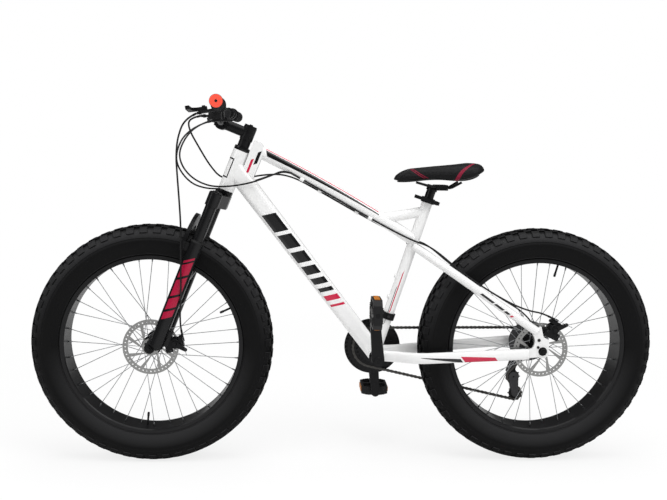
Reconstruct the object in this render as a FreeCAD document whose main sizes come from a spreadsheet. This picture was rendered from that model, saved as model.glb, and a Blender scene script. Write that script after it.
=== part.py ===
import FreeCAD, Part
import math
import os
import Sketcher
from types import SimpleNamespace

Vector = FreeCAD.Vector
Rotation = FreeCAD.Rotation
Placement = FreeCAD.Placement

# Frame: +X forward, +Y to the rider's left, +Z up.
# The origin lies on the ground, midway between the two tyre contacts.

# Driving sizes, in millimetres and degrees, and counts
SIZES = {
    # stance
    "wheelbase": 1130,
    "bottom_bracket_height": 322,
    "chainstay_reach": 478,
    "fit_gap": 0.3,
    "running_gap": 0.05,
    # wheels
    "tyre_diameter": 700,
    "tyre_width": 98,
    "tyre_wall": 2.5,
    "shoulder_width": 72,
    "shoulder_drop": 7,
    "tread_base": 3,
    "knob_count": 55,
    "knob_height": 5.6,
    "knob_length": 22,
    "knob_root": 1.2,
    "bead_diameter": 507,
    "rim_width": 80,
    "rim_wall": 3,
    "rim_flange": 9,
    "inner_tube_wall": 1,
    "valve_radius": 3,
    "valve_length": 38,
    "spoke_count": 36,
    "spoke_radius": 1,
    "spoke_cross": 60,
    "axle_radius": 5,
    "hub_radius": 17,
    "hub_end_radius": 10,
    "hub_flange_radius": 29,
    "hub_flange_width": 3,
    "front_flange_half": 36,
    "rear_flange_half": 36,
    "front_dropout_gap": 135,
    "rear_dropout_gap": 170,
    "rotor_diameter": 160,
    "rotor_thickness": 2,
    "rotor_track": 15,
    "rotor_boss_radius": 22,
    "rotor_inset": 14,
    "rotor_slots": 8,
    "rotor_holes": 40,
    "rotor_hole_radius": 2.2,
    "rotor_sweep": 26,
    # frame
    "head_angle": 68.5,
    "head_tube_length": 121,
    "head_tube_radius": 23,
    "head_tube_wall": 4,
    "head_tube_lift": 496,
    "seat_angle": 72.2,
    "seat_tube_length": 485,
    "seat_tube_radius": 15.9,
    "shell_radius": 21,
    "shell_width": 100,
    "shell_wall": 3.5,
    "tube_wall": 2,
    "top_tube_radius": 18,
    "top_tube_seat_lift": 356,
    "top_tube_bow": 8,
    "down_tube_depth_head": 57,
    "down_tube_depth_shell": 49,
    "down_tube_width": 44,
    "down_tube_corner": 17,
    "brace_radius": 15,
    "brace_lift": 445,
    "brace_angle": 10.5,
    "seatstay_radius": 12.5,
    "chainstay_height": 32,
    "chainstay_width": 20,
    "stay_spread": 66,
    "dropout_thickness": 7,
    "gusset_depth": 39,
    "gusset_rise": 44,
    # fork
    "fork_rake": 30,
    "fork_leg_offset": 15,
    "fork_leg_spread": 80,
    "fork_travel": 60,
    "leg_radius": 20,
    "leg_top_lift": 333,
    "leg_foot_lift": 14,
    "stanchion_radius": 16,
    "fork_tube_wall": 2.5,
    "stanchion_foot_lift": 150,
    "crown_lift": 444,
    "crown_height": 38,
    "crown_boss_radius": 19.5,
    "steerer_radius": 14.3,
    "cup_height": 12,
    "arch_thickness": 11,
    "arch_gap": 8,
    "fork_tab_thickness": 10,
    # cockpit
    "stem_reach": 80,
    "stem_lift": 670,
    "stem_height": 40,
    "stem_radius": 19,
    "bar_radius": 11.1,
    "bar_clamp_radius": 12.7,
    "bar_half_width": 332,
    "bar_rise": 36,
    "bar_sweep": 18,
    "bar_shoulder_inset": 26,
    "bar_centre": 36,
    "grip_length": 126,
    "grip_radius": 17,
    "plug_thickness": 3,
    "lever_clamp_inset": 29,
    "shifter_spacing": 44,
    "control_clamp_wall": 5,
    "lever_reach": 40,
    "lever_droop": 12,
    "lever_pin_radius": 3,
    "lever_thickness": 9,
    "pod_radius": 17,
    "pod_height": 18,
    # seat
    "seatpost_radius": 13.6,
    "seatpost_length": 250,
    "seatpost_show": 34,
    "seat_collar_height": 16,
    "seat_collar_wall": 4,
    "rail_radius": 3.5,
    "rail_spread": 22,
    "saddle_base_thickness": 5,
    "saddle_gap": 0.8,
    # drive
    "chain_pitch": 12.7,
    "chain_height": 8,
    "chain_plate": 1.5,
    "chain_gap": 2.6,
    "chain_line": 68,
    "tooth_thickness": 1.8,
    "ring_teeth": 30,
    "small_ring_teeth": 24,
    "large_ring_teeth": 40,
    "ring_spacing": 8,
    "cog_teeth": 18,
    "cog_spacing": 5,
    "cog_bore": 17,
    "pulley_teeth": 10,
    "spindle_radius": 8.5,
    "crank_length": 152,
    "crank_tilt": 5.5,
    "crank_inner": 90,
    "crank_thickness": 14,
    "crank_boss_radius": 18,
    "guard_radius": 86,
    "guard_thickness": 2.5,
    "guard_gap": 4,
    "crank_tip_radius": 13,
    "pedal_spindle_radius": 7,
    "pedal_length": 82,
    "pedal_width": 92,
    "pedal_thickness": 25,
    # brakes and cables
    "caliper_length": 48,
    "caliper_height": 44,
    "caliper_chamfer": 10,
    "caliper_inboard": 16,
    "caliper_outboard": 22,
    "caliper_slot": 1.7,
    "caliper_arm_length": 34,
    "caliper_arm_thickness": 4,
    "cable_radius": 2.5,
    "barrel_radius": 3.5,
    "guide_radius": 5,
    "guide_length": 12,
    "boss_radius": 6,
    "boss_height": 4,
    "boss_hole_radius": 2.5,
    "boss_spacing": 64,
    "boss_lift": 174,
}


class Size:
    """A number together with the sheet expression that gives it."""

    def __init__(self, value, text):
        self.value = value
        self.text = text

    def __float__(self):
        return float(self.value)

    def __add__(self, other):
        return joined(self, "+", other)

    def __radd__(self, other):
        return joined(other, "+", self)

    def __sub__(self, other):
        return joined(self, "-", other)

    def __rsub__(self, other):
        return joined(other, "-", self)

    def __mul__(self, other):
        return joined(self, "*", other)

    def __rmul__(self, other):
        return joined(other, "*", self)

    def __truediv__(self, other):
        return joined(self, "/", other)

    def __neg__(self):
        return joined(0, "-", self)


def as_size(thing):
    if isinstance(thing, Size):
        return thing
    return Size(thing, f"({thing})")


def joined(left, sign, right):
    first = as_size(left)
    second = as_size(right)
    values = {
        "+": first.value + second.value,
        "-": first.value - second.value,
        "*": first.value * second.value,
        "/": first.value / second.value if second.value else 0,
    }
    return Size(values[sign], f"({first.text} {sign} {second.text})")


def smaller(left, right):
    return Size(min(left.value, right.value), f"min({left.text}; {right.text})")


doc = FreeCAD.newDocument("FatTyreBike")
sheet = doc.addObject("Spreadsheet::Sheet", "Sizes")
for row, (alias, number) in enumerate(SIZES.items(), start=1):
    sheet.set(f"A{row}", alias)
    sheet.set(f"B{row}", str(number))
    sheet.setAlias(f"B{row}", alias)
doc.recompute()
d = SimpleNamespace(**{alias: Size(float(sheet.get(alias)), "Sizes." + alias) for alias in SIZES})

nodes = {}
UP = Vector(0, 0, 1)
LEFT = Vector(0, 1, 0)
FORWARD = Vector(1, 0, 0)


# Making helpers

def bind(thing, **properties):
    for name, value in properties.items():
        setattr(thing, name, float(value))
        if isinstance(value, Size):
            thing.setExpression(name, value.text)


def vec(x, y, z):
    return Vector(float(x), float(y), float(z))


def placed(point, direction=UP):
    return Placement(point, Rotation(UP, direction))


def node(label, thing):
    thing.Label = label
    nodes[label] = thing
    return thing


def cylinder(radius, height, place):
    solid = doc.addObject("Part::Cylinder", "Cylinder")
    bind(solid, Radius=radius, Height=height)
    solid.Placement = place
    return solid


def box(length, width, height, place):
    solid = doc.addObject("Part::Box", "Box")
    bind(solid, Length=length, Width=width, Height=height)
    solid.Placement = place
    return solid


def fuse(name, *solids):
    if len(solids) == 1:
        return solids[0]
    whole = doc.addObject("Part::MultiFuse", name)
    whole.Shapes = list(solids)
    whole.Refine = True
    return whole


def cut(name, base, *tools):
    for tool in tools:
        rest = doc.addObject("Part::Cut", name)
        rest.Base = base
        rest.Tool = tool
        base = rest
    return base


def group(label, *solids):
    several = doc.addObject("Part::Compound", label)
    several.Links = list(solids)
    return node(label, several)


def feature(name, shape):
    thing = doc.addObject("Part::Feature", name)
    thing.Shape = shape
    return thing


def body_with_sketch(name, role):
    body = doc.addObject("PartDesign::Body", name)
    return body, add_sketch(body, role)


def add_sketch(body, role):
    plane = [item for item in body.Origin.OriginFeatures if item.Role == role][0]
    sketch = body.newObject("Sketcher::SketchObject", body.Name + "_sketch")
    sketch.AttachmentSupport = (plane, [""])
    sketch.MapMode = "FlatFace"
    return sketch


def constrain(sketch, kind, place, value):
    number = sketch.addConstraint(Sketcher.Constraint(kind, *place, float(value)))
    if isinstance(value, Size):
        sketch.setExpression(f"Constraints[{number}]", value.text)


def pin_point(sketch, edge, end, x, y):
    for kind, axis, value in (("DistanceX", -2, x), ("DistanceY", -1, y)):
        if isinstance(value, Size) or value != 0:
            constrain(sketch, kind, (-1, 1, edge, end), value)
        else:
            sketch.addConstraint(Sketcher.Constraint("PointOnObject", edge, end, axis))


def draw(sketch, points):
    """A closed outline. A third value on a point bends the edge that starts there into an arc
    of that radius, counter-clockwise when positive."""
    spots = [vec(point[0], point[1], 0) for point in points]
    first = sketch.GeometryCount
    ends = []
    for number, point in enumerate(points):
        start = spots[number]
        stop = spots[(number + 1) % len(spots)]
        if len(point) == 2:
            sketch.addGeometry(Part.LineSegment(start, stop))
            ends.append((1, 2))
            continue
        radius = abs(float(point[2]))
        turn = 1 if float(point[2]) > 0 else -1
        middle = (start + stop) * 0.5
        chord = stop - start
        left = Vector(-chord.y, chord.x, 0).normalize()
        sag = radius - math.sqrt(max(radius * radius - chord.Length ** 2 / 4, 0))
        bulge = middle - left * (turn * sag)
        if turn > 0:
            sketch.addGeometry(Part.Arc(start, bulge, stop))
            ends.append((1, 2))
        else:
            sketch.addGeometry(Part.Arc(stop, bulge, start))
            ends.append((2, 1))
    for number, point in enumerate(points):
        after = (number + 1) % len(points)
        place = (first + number, ends[number][1], first + after, ends[after][0])
        sketch.addConstraint(Sketcher.Constraint("Coincident", *place))
        pin_point(sketch, first + number, ends[number][0], point[0], point[1])
        if len(point) > 2:
            bend = point[2] if float(point[2]) > 0 else -point[2]
            chord = spots[after] - spots[number]
            if float(bend) * 2 > chord.Length + 0.001:
                constrain(sketch, "Radius", (first + number,), bend)
            elif abs(chord.y) < abs(chord.x):
                level_centre(sketch, first + number, "DistanceY", -1, point[1])
            else:
                level_centre(sketch, first + number, "DistanceX", -2, point[0])


def level_centre(sketch, edge, kind, axis, value):
    """A half circle: its centre lies level with its ends."""
    if isinstance(value, Size) or value != 0:
        constrain(sketch, kind, (-1, 1, edge, 3), value)
    else:
        sketch.addConstraint(Sketcher.Constraint("PointOnObject", edge, 3, axis))


def draw_circle(sketch, x, y, radius):
    edge = sketch.GeometryCount
    sketch.addGeometry(Part.Circle(vec(x, y, 0), UP, float(radius)))
    pin_point(sketch, edge, 3, x, y)
    constrain(sketch, "Radius", (edge,), radius)


def turned(name, points, place):
    """A turned piece: (radius, height) points, spun about the local Z axis."""
    body, sketch = body_with_sketch(name, "XZ_Plane")
    draw(sketch, points)
    turn = body.newObject("PartDesign::Revolution", name + "_turn")
    turn.Profile = sketch
    turn.ReferenceAxis = (sketch, ["V_Axis"])
    turn.Angle = 360
    body.Placement = place
    return body


def plate(name, points, thickness, place, holes=(), role="XZ_Plane"):
    """A flat piece. On the XZ plane it grows from y = 0 towards -Y."""
    body, sketch = body_with_sketch(name, role)
    draw(sketch, points)
    for x, y, radius in holes:
        draw_circle(sketch, x, y, radius)
    pad = body.newObject("PartDesign::Pad", name + "_pad")
    pad.Profile = sketch
    bind(pad, Length=thickness)
    body.Placement = place
    return body


def bent_wire(points, largest=None):
    """Straight runs joined by tangent arcs, each as large as its two runs allow."""
    edges = []
    radii = []
    last = points[0]
    for before, here, after in zip(points, points[1:], points[2:]):
        back = (before - here).normalize()
        ahead = (after - here).normalize()
        turn = math.pi - back.getAngle(ahead)
        shorter = min(before.distanceToPoint(here), here.distanceToPoint(after))
        radius = 0.45 * shorter / math.tan(turn / 2)
        if largest:
            radius = min(radius, largest)
        reach = radius * math.tan(turn / 2)
        radii.append(radius)
        enter = here + back * reach
        leave = here + ahead * reach
        inward = (back + ahead).normalize()
        centre = here + inward * (radius / math.cos(turn / 2))
        edges.append(Part.LineSegment(last, enter).toShape())
        edges.append(Part.Arc(enter, centre - inward * radius, leave).toShape())
        last = leave
    edges.append(Part.LineSegment(last, points[-1]).toShape())
    return Part.Wire(edges), radii


def swept(name, wire, section):
    spine = feature(name + "_path", wire)
    sweep = doc.addObject("Part::Sweep", name)
    sweep.Sections = [section]
    sweep.Spine = (spine, [f"Edge{number + 1}" for number in range(len(wire.Edges))])
    sweep.Solid = True
    sweep.Frenet = False
    return sweep


def round_section(radius, wire):
    ring = doc.addObject("Part::Circle", "Ring")
    bind(ring, Radius=radius)
    start = wire.Edges[0]
    ring.Placement = placed(start.valueAt(start.FirstParameter), start.tangentAt(start.FirstParameter))
    return ring


def oval_section(height, width, wire):
    oval = doc.addObject("Part::Ellipse", "Oval")
    bind(oval, MajorRadius=height / 2, MinorRadius=width / 2)
    start = wire.Edges[0]
    ahead = start.tangentAt(start.FirstParameter)
    side = UP.cross(ahead).normalize()
    over = ahead.cross(side)
    turn = Rotation(over, -side, ahead, "ZXY")
    oval.Placement = Placement(start.valueAt(start.FirstParameter), turn)
    return oval


def rod(name, wire, radius):
    return swept(name, wire, round_section(radius, wire))


def sprocket_face(teeth, windows, bore):
    """A toothed disc in the XZ plane: four corners for each tooth."""
    pitch = float(d.chain_pitch) / (2 * math.sin(math.pi / teeth))
    root = pitch - 3.9
    tip = pitch + 3
    step = 2 * math.pi / teeth
    corners = []
    for tooth in range(teeth):
        for share, radius in ((-0.27, root), (-0.1, tip), (0.1, tip), (0.27, root)):
            angle = (tooth + 0.5 + share) * step
            corners.append(Vector(radius * math.cos(angle), 0, radius * math.sin(angle)))
    outline = Part.makePolygon(corners + corners[:1])
    rings = [outline] + windows
    rings.append(Part.Wire(Part.makeCircle(float(bore), Vector(), LEFT)))
    return Part.Face(rings, "Part::FaceMakerBullseye")


def pitch_radius(teeth):
    return float(d.chain_pitch) / (2 * math.sin(math.pi / round(float(teeth))))


def window(inner, outer, start, stop):
    """A window with two round sides, between two angles in the XZ plane."""
    def spot(radius, angle):
        return Vector(radius * math.cos(angle), 0, radius * math.sin(angle))
    middle = (start + stop) / 2
    return Part.Wire([
        Part.Arc(spot(outer, start), spot(outer, middle), spot(outer, stop)).toShape(),
        Part.LineSegment(spot(outer, stop), spot(inner, stop)).toShape(),
        Part.Arc(spot(inner, stop), spot(inner, middle), spot(inner, start)).toShape(),
        Part.LineSegment(spot(inner, start), spot(outer, start)).toShape(),
    ])


def sprocket(name, teeth, centre_y, bore, centre, windows=()):
    thickness = float(d.tooth_thickness)
    face = sprocket_face(round(float(teeth)), list(windows), bore)
    solid = feature(name, face.extrude(LEFT * thickness))
    solid.Placement = Placement(centre + LEFT * (float(centre_y) - thickness / 2), Rotation())
    return solid


# Main points of the bike

wheel_radius = d.tyre_diameter / 2
front_axle_point = vec(d.wheelbase / 2, 0, wheel_radius)
rear_axle_point = vec(-d.wheelbase / 2, 0, wheel_radius)
shell_point = vec(-d.wheelbase / 2 + d.chainstay_reach, 0, d.bottom_bracket_height)

head_angle = math.radians(float(d.head_angle))
head_up = Vector(-math.cos(head_angle), 0, math.sin(head_angle))
head_ahead = Vector(math.sin(head_angle), 0, math.cos(head_angle))
# Steering frame: local X ahead of the steering axis, local Z up along it, the axle at height 0
steering = Placement(front_axle_point - head_ahead * float(d.fork_rake),
                     Rotation(LEFT, float(d.head_angle) - 90))


def steer(x, y, z):
    return steering.multVec(vec(x, y, z))


def in_steering(place):
    return steering.multiply(place)


seat_angle = math.radians(float(d.seat_angle))
seat_up = Vector(-math.cos(seat_angle), 0, math.sin(seat_angle))


def on_seat_axis(lift):
    return shell_point + seat_up * float(lift)


across = Rotation(UP, LEFT)
across_right = Rotation(UP, -LEFT)


# Frame

head_tube_outline = [
    (d.head_tube_radius - d.head_tube_wall, 0),
    (d.head_tube_radius, 0),
    (d.head_tube_radius, d.head_tube_length),
    (d.head_tube_radius - d.head_tube_wall, d.head_tube_length),
]
head_place = in_steering(placed(vec(0, 0, d.head_tube_lift)))
node("head_tube", turned("head_tube", head_tube_outline, head_place))
head_core = cylinder(d.head_tube_radius, d.head_tube_length, head_place)

shell_outline = [
    (d.shell_radius - d.shell_wall, 0),
    (d.shell_radius, 0),
    (d.shell_radius, d.shell_width),
    (d.shell_radius - d.shell_wall, d.shell_width),
]
shell_place = Placement(shell_point - LEFT * float(d.shell_width / 2), across)
node("bottom_bracket_shell", turned("bottom_bracket_shell", shell_outline, shell_place))
shell_core = cylinder(d.shell_radius, d.shell_width, shell_place)

seat_place = placed(shell_point, seat_up)
seat_core = cylinder(d.seat_tube_radius, d.seat_tube_length, seat_place)
seat_bore = cylinder(d.seatpost_radius + d.running_gap, d.seat_tube_length, seat_place)
seat_ahead = LEFT.cross(seat_up)
boss_lifts = (d.boss_lift, d.boss_lift + d.boss_spacing)
boss_holes = []
for lift in boss_lifts:
    boss_holes.append(cylinder(d.boss_hole_radius, d.seat_tube_radius + d.boss_height * 2,
                               placed(on_seat_axis(lift), seat_ahead)))
node("seat_tube", cut("seat_tube", seat_core, seat_bore, shell_core, *boss_holes))


def rounded_box_wire(centre, across_dir, deep_dir, width, depth, corner):
    """A rectangle with round corners, by lines and quarter arcs."""
    half_width = width / 2 - corner
    half_depth = depth / 2 - corner
    diagonal = corner * math.sqrt(0.5)

    def spot(side, deep):
        return centre + across_dir * side + deep_dir * deep

    edges = []
    for side, deep in ((1, 1), (-1, 1), (-1, -1), (1, -1)):
        core_side = side * half_width
        core_deep = deep * half_depth
        out_side = spot(core_side + side * corner, core_deep)
        out_deep = spot(core_side, core_deep + deep * corner)
        bend = spot(core_side + side * diagonal, core_deep + deep * diagonal)
        start, stop = (out_side, out_deep) if side == deep else (out_deep, out_side)
        edges.append(Part.Arc(start, bend, stop).toShape())
    lines = []
    for edge, following in zip(edges, edges[1:] + edges[:1]):
        lines.append(edge)
        leave = edge.valueAt(edge.LastParameter)
        arrive = following.valueAt(following.FirstParameter)
        lines.append(Part.LineSegment(leave, arrive).toShape())
    return Part.Wire(lines)


down_tube_top = steer(0, 0, d.head_tube_lift + d.head_tube_length * 0.55)
down_ahead = (down_tube_top - shell_point).normalize()
down_deep = down_ahead.cross(LEFT)


def down_tube_loft(name, wall):
    wires = []
    for end, depth in ((shell_point, d.down_tube_depth_shell), (down_tube_top, d.down_tube_depth_head)):
        wires.append(rounded_box_wire(end, LEFT, down_deep, float(d.down_tube_width - wall * 2),
                                      float(depth - wall * 2), float(d.down_tube_corner - wall)))
    return feature(name, Part.makeLoft(wires, True, True))


down_tube_core = down_tube_loft("down_tube_outer", as_size(0))
down_tube_hollow = down_tube_loft("down_tube_inner", d.tube_wall)
node("down_tube", cut("down_tube", down_tube_core, down_tube_hollow, head_core, shell_core, seat_core))

# The gusset runs down the back of the head tube, from the top tube to the down tube
gusset_top = d.head_tube_lift + d.head_tube_length + d.gusset_rise
gusset_front = -d.head_tube_radius - d.running_gap * 20
gusset_back = -d.head_tube_radius - d.gusset_depth
gusset_outline = [
    (gusset_front, gusset_top),
    (-d.head_tube_radius - d.gusset_depth * 0.5, gusset_top - 1, 60),
    (gusset_back + 6, gusset_top - 9),
    (gusset_back, gusset_top - d.gusset_rise + 4),
    (gusset_back + 1, gusset_top - d.gusset_rise * 2.6),
    (gusset_front, gusset_top - d.gusset_rise * 3.2),
]
gusset_place = in_steering(Placement(vec(0, d.top_tube_radius, 0), Rotation()))
gusset_core = plate("neck_gusset_core", gusset_outline, d.top_tube_radius * 2, gusset_place)
neck_gusset = cut("neck_gusset", gusset_core, head_core, down_tube_core)

# The top tube is a gentle bow from the gusset down to the seat tube
top_tube_front = steer(gusset_back + 12, 0, gusset_top - 26)
top_tube_back = on_seat_axis(d.top_tube_seat_lift) + seat_ahead * 3
top_tube_over = (top_tube_front - top_tube_back).cross(LEFT).normalize()
top_tube_middle = (top_tube_front + top_tube_back) * 0.5 + top_tube_over * float(d.top_tube_bow)
top_tube_wire = Part.Wire([Part.Arc(top_tube_back, top_tube_middle, top_tube_front).toShape()])
top_tube_core = rod("top_tube_outer", top_tube_wire, d.top_tube_radius)
top_tube_hollow = rod("top_tube_inner", top_tube_wire, d.top_tube_radius - d.tube_wall)
node("top_tube", cut("top_tube", top_tube_core, seat_core, gusset_core, top_tube_hollow))


def on_top_tube(share):
    edge = top_tube_wire.Edges[0]
    span = edge.LastParameter - edge.FirstParameter
    return edge.valueAt(edge.FirstParameter + span * share)


brace_back = on_seat_axis(d.brace_lift)
brace_angle = math.radians(float(d.brace_angle))
brace_ahead = Vector(math.cos(brace_angle), 0, -math.sin(brace_angle))
brace_wire = Part.Wire([Part.LineSegment(brace_back, brace_back + brace_ahead * 128).toShape()])
brace_core = rod("seat_brace_outer", brace_wire, d.brace_radius)
brace_hollow = rod("seat_brace_inner", brace_wire, d.brace_radius - d.tube_wall)
seat_brace = cut("seat_brace", brace_core, brace_hollow, seat_core, top_tube_core)
group("frame_braces", neck_gusset, seat_brace)

# Rear triangle: both sides come from one set of points
dropout_inner = d.rear_dropout_gap / 2
dropout_middle = dropout_inner + d.dropout_thickness / 2
dropout_outline = [
    (29, 64),
    (7, 73),
    (-1, 42),
    (-18, 33),
    (-18, -8, 20),
    (11, -17),
    (60, -21),
    (60, 2),
    (31, 8, -30),
    (29, 46),
]
dropouts = []
for side in (1, -1):
    outer_face = dropout_inner + d.dropout_thickness if side > 0 else -dropout_inner
    dropout_place = Placement(rear_axle_point + LEFT * float(outer_face), Rotation())
    dropouts.append(plate("dropout", dropout_outline, d.dropout_thickness, dropout_place,
                          [(0, 0, d.axle_radius + d.running_gap), (12, 33, 3.2), (14, 12, 2.6)]))
group("dropouts", *dropouts)

chainstays = []
seatstays = []
for side in (1, -1):
    chain_points = [
        shell_point + vec(-6, side * 33, -1),
        shell_point + vec(-62, side * 42, -2),
        shell_point + vec(-124, side * d.stay_spread, -2),
        rear_axle_point + vec(40, side * dropout_middle, -9),
    ]
    chain_wire = bent_wire(chain_points)[0]
    chainstay = swept("chainstay", chain_wire, oval_section(d.chainstay_height, d.chainstay_width, chain_wire))
    hollow = oval_section(d.chainstay_height - d.tube_wall * 2, d.chainstay_width - d.tube_wall * 2, chain_wire)
    chainstays.append(cut("chainstay_cut", chainstay, shell_core, dropouts[0], dropouts[1],
                          swept("chainstay_inner", chain_wire, hollow)))
    stay_top = on_seat_axis(d.top_tube_seat_lift - 16)
    seat_points = [
        stay_top + vec(-2, side * 17, 0),
        stay_top + vec(-46, side * 36, -30),
        stay_top + vec(-104, side * d.stay_spread, -68),
        rear_axle_point + vec(19, side * dropout_middle, 58),
    ]
    seat_wire = bent_wire(seat_points)[0]
    seatstay = rod("seatstay", seat_wire, d.seatstay_radius)
    seatstays.append(cut("seatstay_cut", seatstay, seat_core, top_tube_core, dropouts[0], dropouts[1],
                         rod("seatstay_inner", seat_wire, d.seatstay_radius - d.tube_wall)))
group("chainstays", *chainstays)
group("seatstays", *seatstays)

# Headset and bottom bracket cups
headset_cups = []
for lift in (d.head_tube_lift - d.cup_height, d.head_tube_lift + d.head_tube_length):
    cup_outline = [
        (d.steerer_radius + d.running_gap, 0),
        (d.head_tube_radius - 1, 0),
        (d.head_tube_radius, d.cup_height / 2),
        (d.head_tube_radius - 1, d.cup_height),
        (d.steerer_radius + d.running_gap, d.cup_height),
    ]
    headset_cups.append(turned("headset_cup", cup_outline, in_steering(placed(vec(0, 0, lift)))))

shell_bore = d.shell_radius - d.shell_wall
bracket_cups = []
for side, turn in ((1, across), (-1, across_right)):
    cup_outline = [
        (d.spindle_radius + d.running_gap, -22),
        (shell_bore, -22),
        (shell_bore, 0),
        (d.shell_radius + 1, 0),
        (d.shell_radius + 1, 4),
        (d.spindle_radius + d.running_gap, 4),
    ]
    cup_place = Placement(shell_point + LEFT * (side * float(d.shell_width / 2)), turn)
    bracket_cups.append(turned("bottom_bracket_cup", cup_outline, cup_place))
group("bearing_cups", *headset_cups, *bracket_cups)


# Wheels

def bow(run, bulge):
    """The radius of an arc that rises by run while it bulges out, square at its far end."""
    return (run * run + bulge * bulge) / (bulge * 2)


class Casing:
    """The tyre's section: a domed crown between two bowed side walls."""

    crown = d.tyre_diameter / 2 - d.knob_height
    lip = d.bead_diameter / 2 + d.rim_flange
    belly = (d.tyre_diameter / 2 + lip) / 2
    half = d.tyre_width / 2
    shoulder = d.shoulder_width / 2
    edge = crown - d.shoulder_drop
    dome_bow = bow(shoulder, d.shoulder_drop)
    side_bow = bow(edge - belly, half - shoulder)

    @classmethod
    def spot(cls, distance, lift):
        """A point at a distance round the section from the middle of the crown, lifted off it."""
        dome = float(cls.dome_bow)
        dome_run = dome * math.asin(float(cls.shoulder) / dome)
        if distance <= dome_run:
            turn = distance / dome
            return Vector(float(cls.crown) - dome + (dome + lift) * math.cos(turn), (dome + lift) * math.sin(turn), 0)
        side = float(cls.side_bow)
        turn = math.asin(float(cls.edge - cls.belly) / side) - (distance - dome_run) / side
        return Vector(float(cls.belly) + (side + lift) * math.sin(turn),
                      float(cls.half) - side + (side + lift) * math.cos(turn), 0)


def casing():
    seat = d.bead_diameter / 2 + d.fit_gap
    bead = d.rim_width / 2 - d.rim_wall - d.fit_gap
    wall = d.tyre_wall
    inner_edge = Casing.edge - d.tread_base
    low = bow(Casing.belly - Casing.lip, Casing.half - bead)
    high = Casing.side_bow
    high_in = bow(inner_edge - Casing.belly, Casing.half - Casing.shoulder)
    dome_in = bow(Casing.shoulder - wall, d.shoulder_drop)
    outline = [
        (seat, -bead),
        (Casing.lip, -bead, low),
        (Casing.belly, -Casing.half, high),
        (Casing.edge, -Casing.shoulder, Casing.dome_bow),
        (Casing.edge, Casing.shoulder, high),
        (Casing.belly, Casing.half, low),
        (Casing.lip, bead),
        (seat, bead),
        (seat, bead - wall),
        (Casing.lip, bead - wall, -low),
        (Casing.belly, Casing.half - wall, -high_in),
        (inner_edge, Casing.shoulder - wall, -dome_in),
        (inner_edge, wall - Casing.shoulder, -high_in),
        (Casing.belly, wall - Casing.half, -low),
        (Casing.lip, wall - bead),
        (seat, wall - bead),
    ]
    return turned("tyre_casing", outline, Placement(Vector(), across))


def tread_blocks():
    """Rows of raised blocks, each a short turn of a flat section rooted in the casing."""
    count = round(float(d.knob_count))
    pitch = 360 / count
    length = math.degrees(float(d.knob_length / Casing.crown))
    root = -float(d.knob_root)
    height = float(d.knob_height)
    unit = float(Casing.shoulder)
    top = float(d.tyre_diameter / 2)
    spot = Casing.spot
    centre_row = [
        spot(-0.34 * unit, root),
        spot(0.34 * unit, root),
        Vector(top, 0.31 * unit, 0),
        Vector(top, -0.31 * unit, 0),
    ]
    middle_row = [
        spot(0.43 * unit, root),
        spot(0.72 * unit, root),
        spot(0.70 * unit, height),
        spot(0.45 * unit, height),
    ]
    shoulder_row = [
        spot(0.82 * unit, root),
        spot(1.40 * unit, root),
        spot(1.36 * unit, height * 0.5),
        spot(1.06 * unit, height * 0.9),
        spot(0.84 * unit, height),
    ]
    blocks = []
    for section, phase, sides in ((centre_row, 0, (1,)), (middle_row, 0.5, (1, -1)), (shoulder_row, 0, (1, -1))):
        for side in sides:
            corners = [Vector(point.x, point.y * side, 0) for point in section]
            block = Part.Face(Part.makePolygon(corners + corners[:1])).revolve(Vector(), LEFT, length)
            if block.Volume < 0:
                block.reverse()
            for number in range(count):
                one = block.copy()
                one.rotate(Vector(), LEFT, 90 + (number + phase) * pitch - length / 2)
                blocks.append(one)
    return feature("tread_blocks", Part.Compound(blocks))


def tyres(*places):
    """One knobbly tyre, copied to each wheel."""
    whole = doc.addObject("Part::MultiFuse", "knobbly_tyre")
    whole.Shapes = [casing(), tread_blocks()]
    doc.recompute()
    for label, centre in places:
        copy = feature(label, whole.Shape.Solids[0].copy())
        copy.Placement = Placement(centre, Rotation())
        node(label, copy)


def rim(label, centre, stems):
    seat = d.bead_diameter / 2
    lip = seat + d.rim_flange
    floor = seat - d.rim_wall
    half = d.rim_width / 2
    outline = [
        (floor, d.rim_wall - half),
        (seat, -half),
        (lip, -half),
        (lip, d.rim_wall - half),
        (seat, d.rim_wall - half),
        (seat, half - d.rim_wall),
        (lip, half - d.rim_wall),
        (lip, half),
        (seat, half),
        (floor, half - d.rim_wall),
    ]
    ring = turned(label + "_ring", outline, Placement(centre, across))
    holes = []
    for angle in stems:
        away = Vector(math.cos(math.radians(angle)), 0, math.sin(math.radians(angle)))
        start = centre + away * float(floor - d.rim_flange)
        holes.append(cylinder(d.valve_radius + d.fit_gap, d.rim_flange * 3, placed(start, away)))
    node(label, cut(label, ring, *holes))


def inner_tube(label, centre, stems):
    top = Casing.crown - d.tread_base - d.fit_gap
    bottom = d.bead_diameter / 2 + d.fit_gap * 2
    thick = smaller((top - bottom) / 2, Casing.half - d.tyre_wall - d.fit_gap * 5)
    ring = doc.addObject("Part::Torus", label + "_ring")
    bind(ring, Radius1=bottom + thick, Radius2=thick)
    ring.Placement = Placement(centre, across)
    inside = doc.addObject("Part::Torus", label + "_inside")
    bind(inside, Radius1=bottom + thick, Radius2=thick - d.inner_tube_wall)
    inside.Placement = Placement(centre, across)
    parts = [cut(label + "_shell", ring, inside)]
    for angle in stems:
        away = Vector(math.cos(math.radians(angle)), 0, math.sin(math.radians(angle)))
        start = centre + away * float(bottom - d.valve_length)
        parts.append(cylinder(d.valve_radius, d.valve_length + d.inner_tube_wall / 2, placed(start, away)))
    node(label, fuse(label, *parts))


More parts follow.
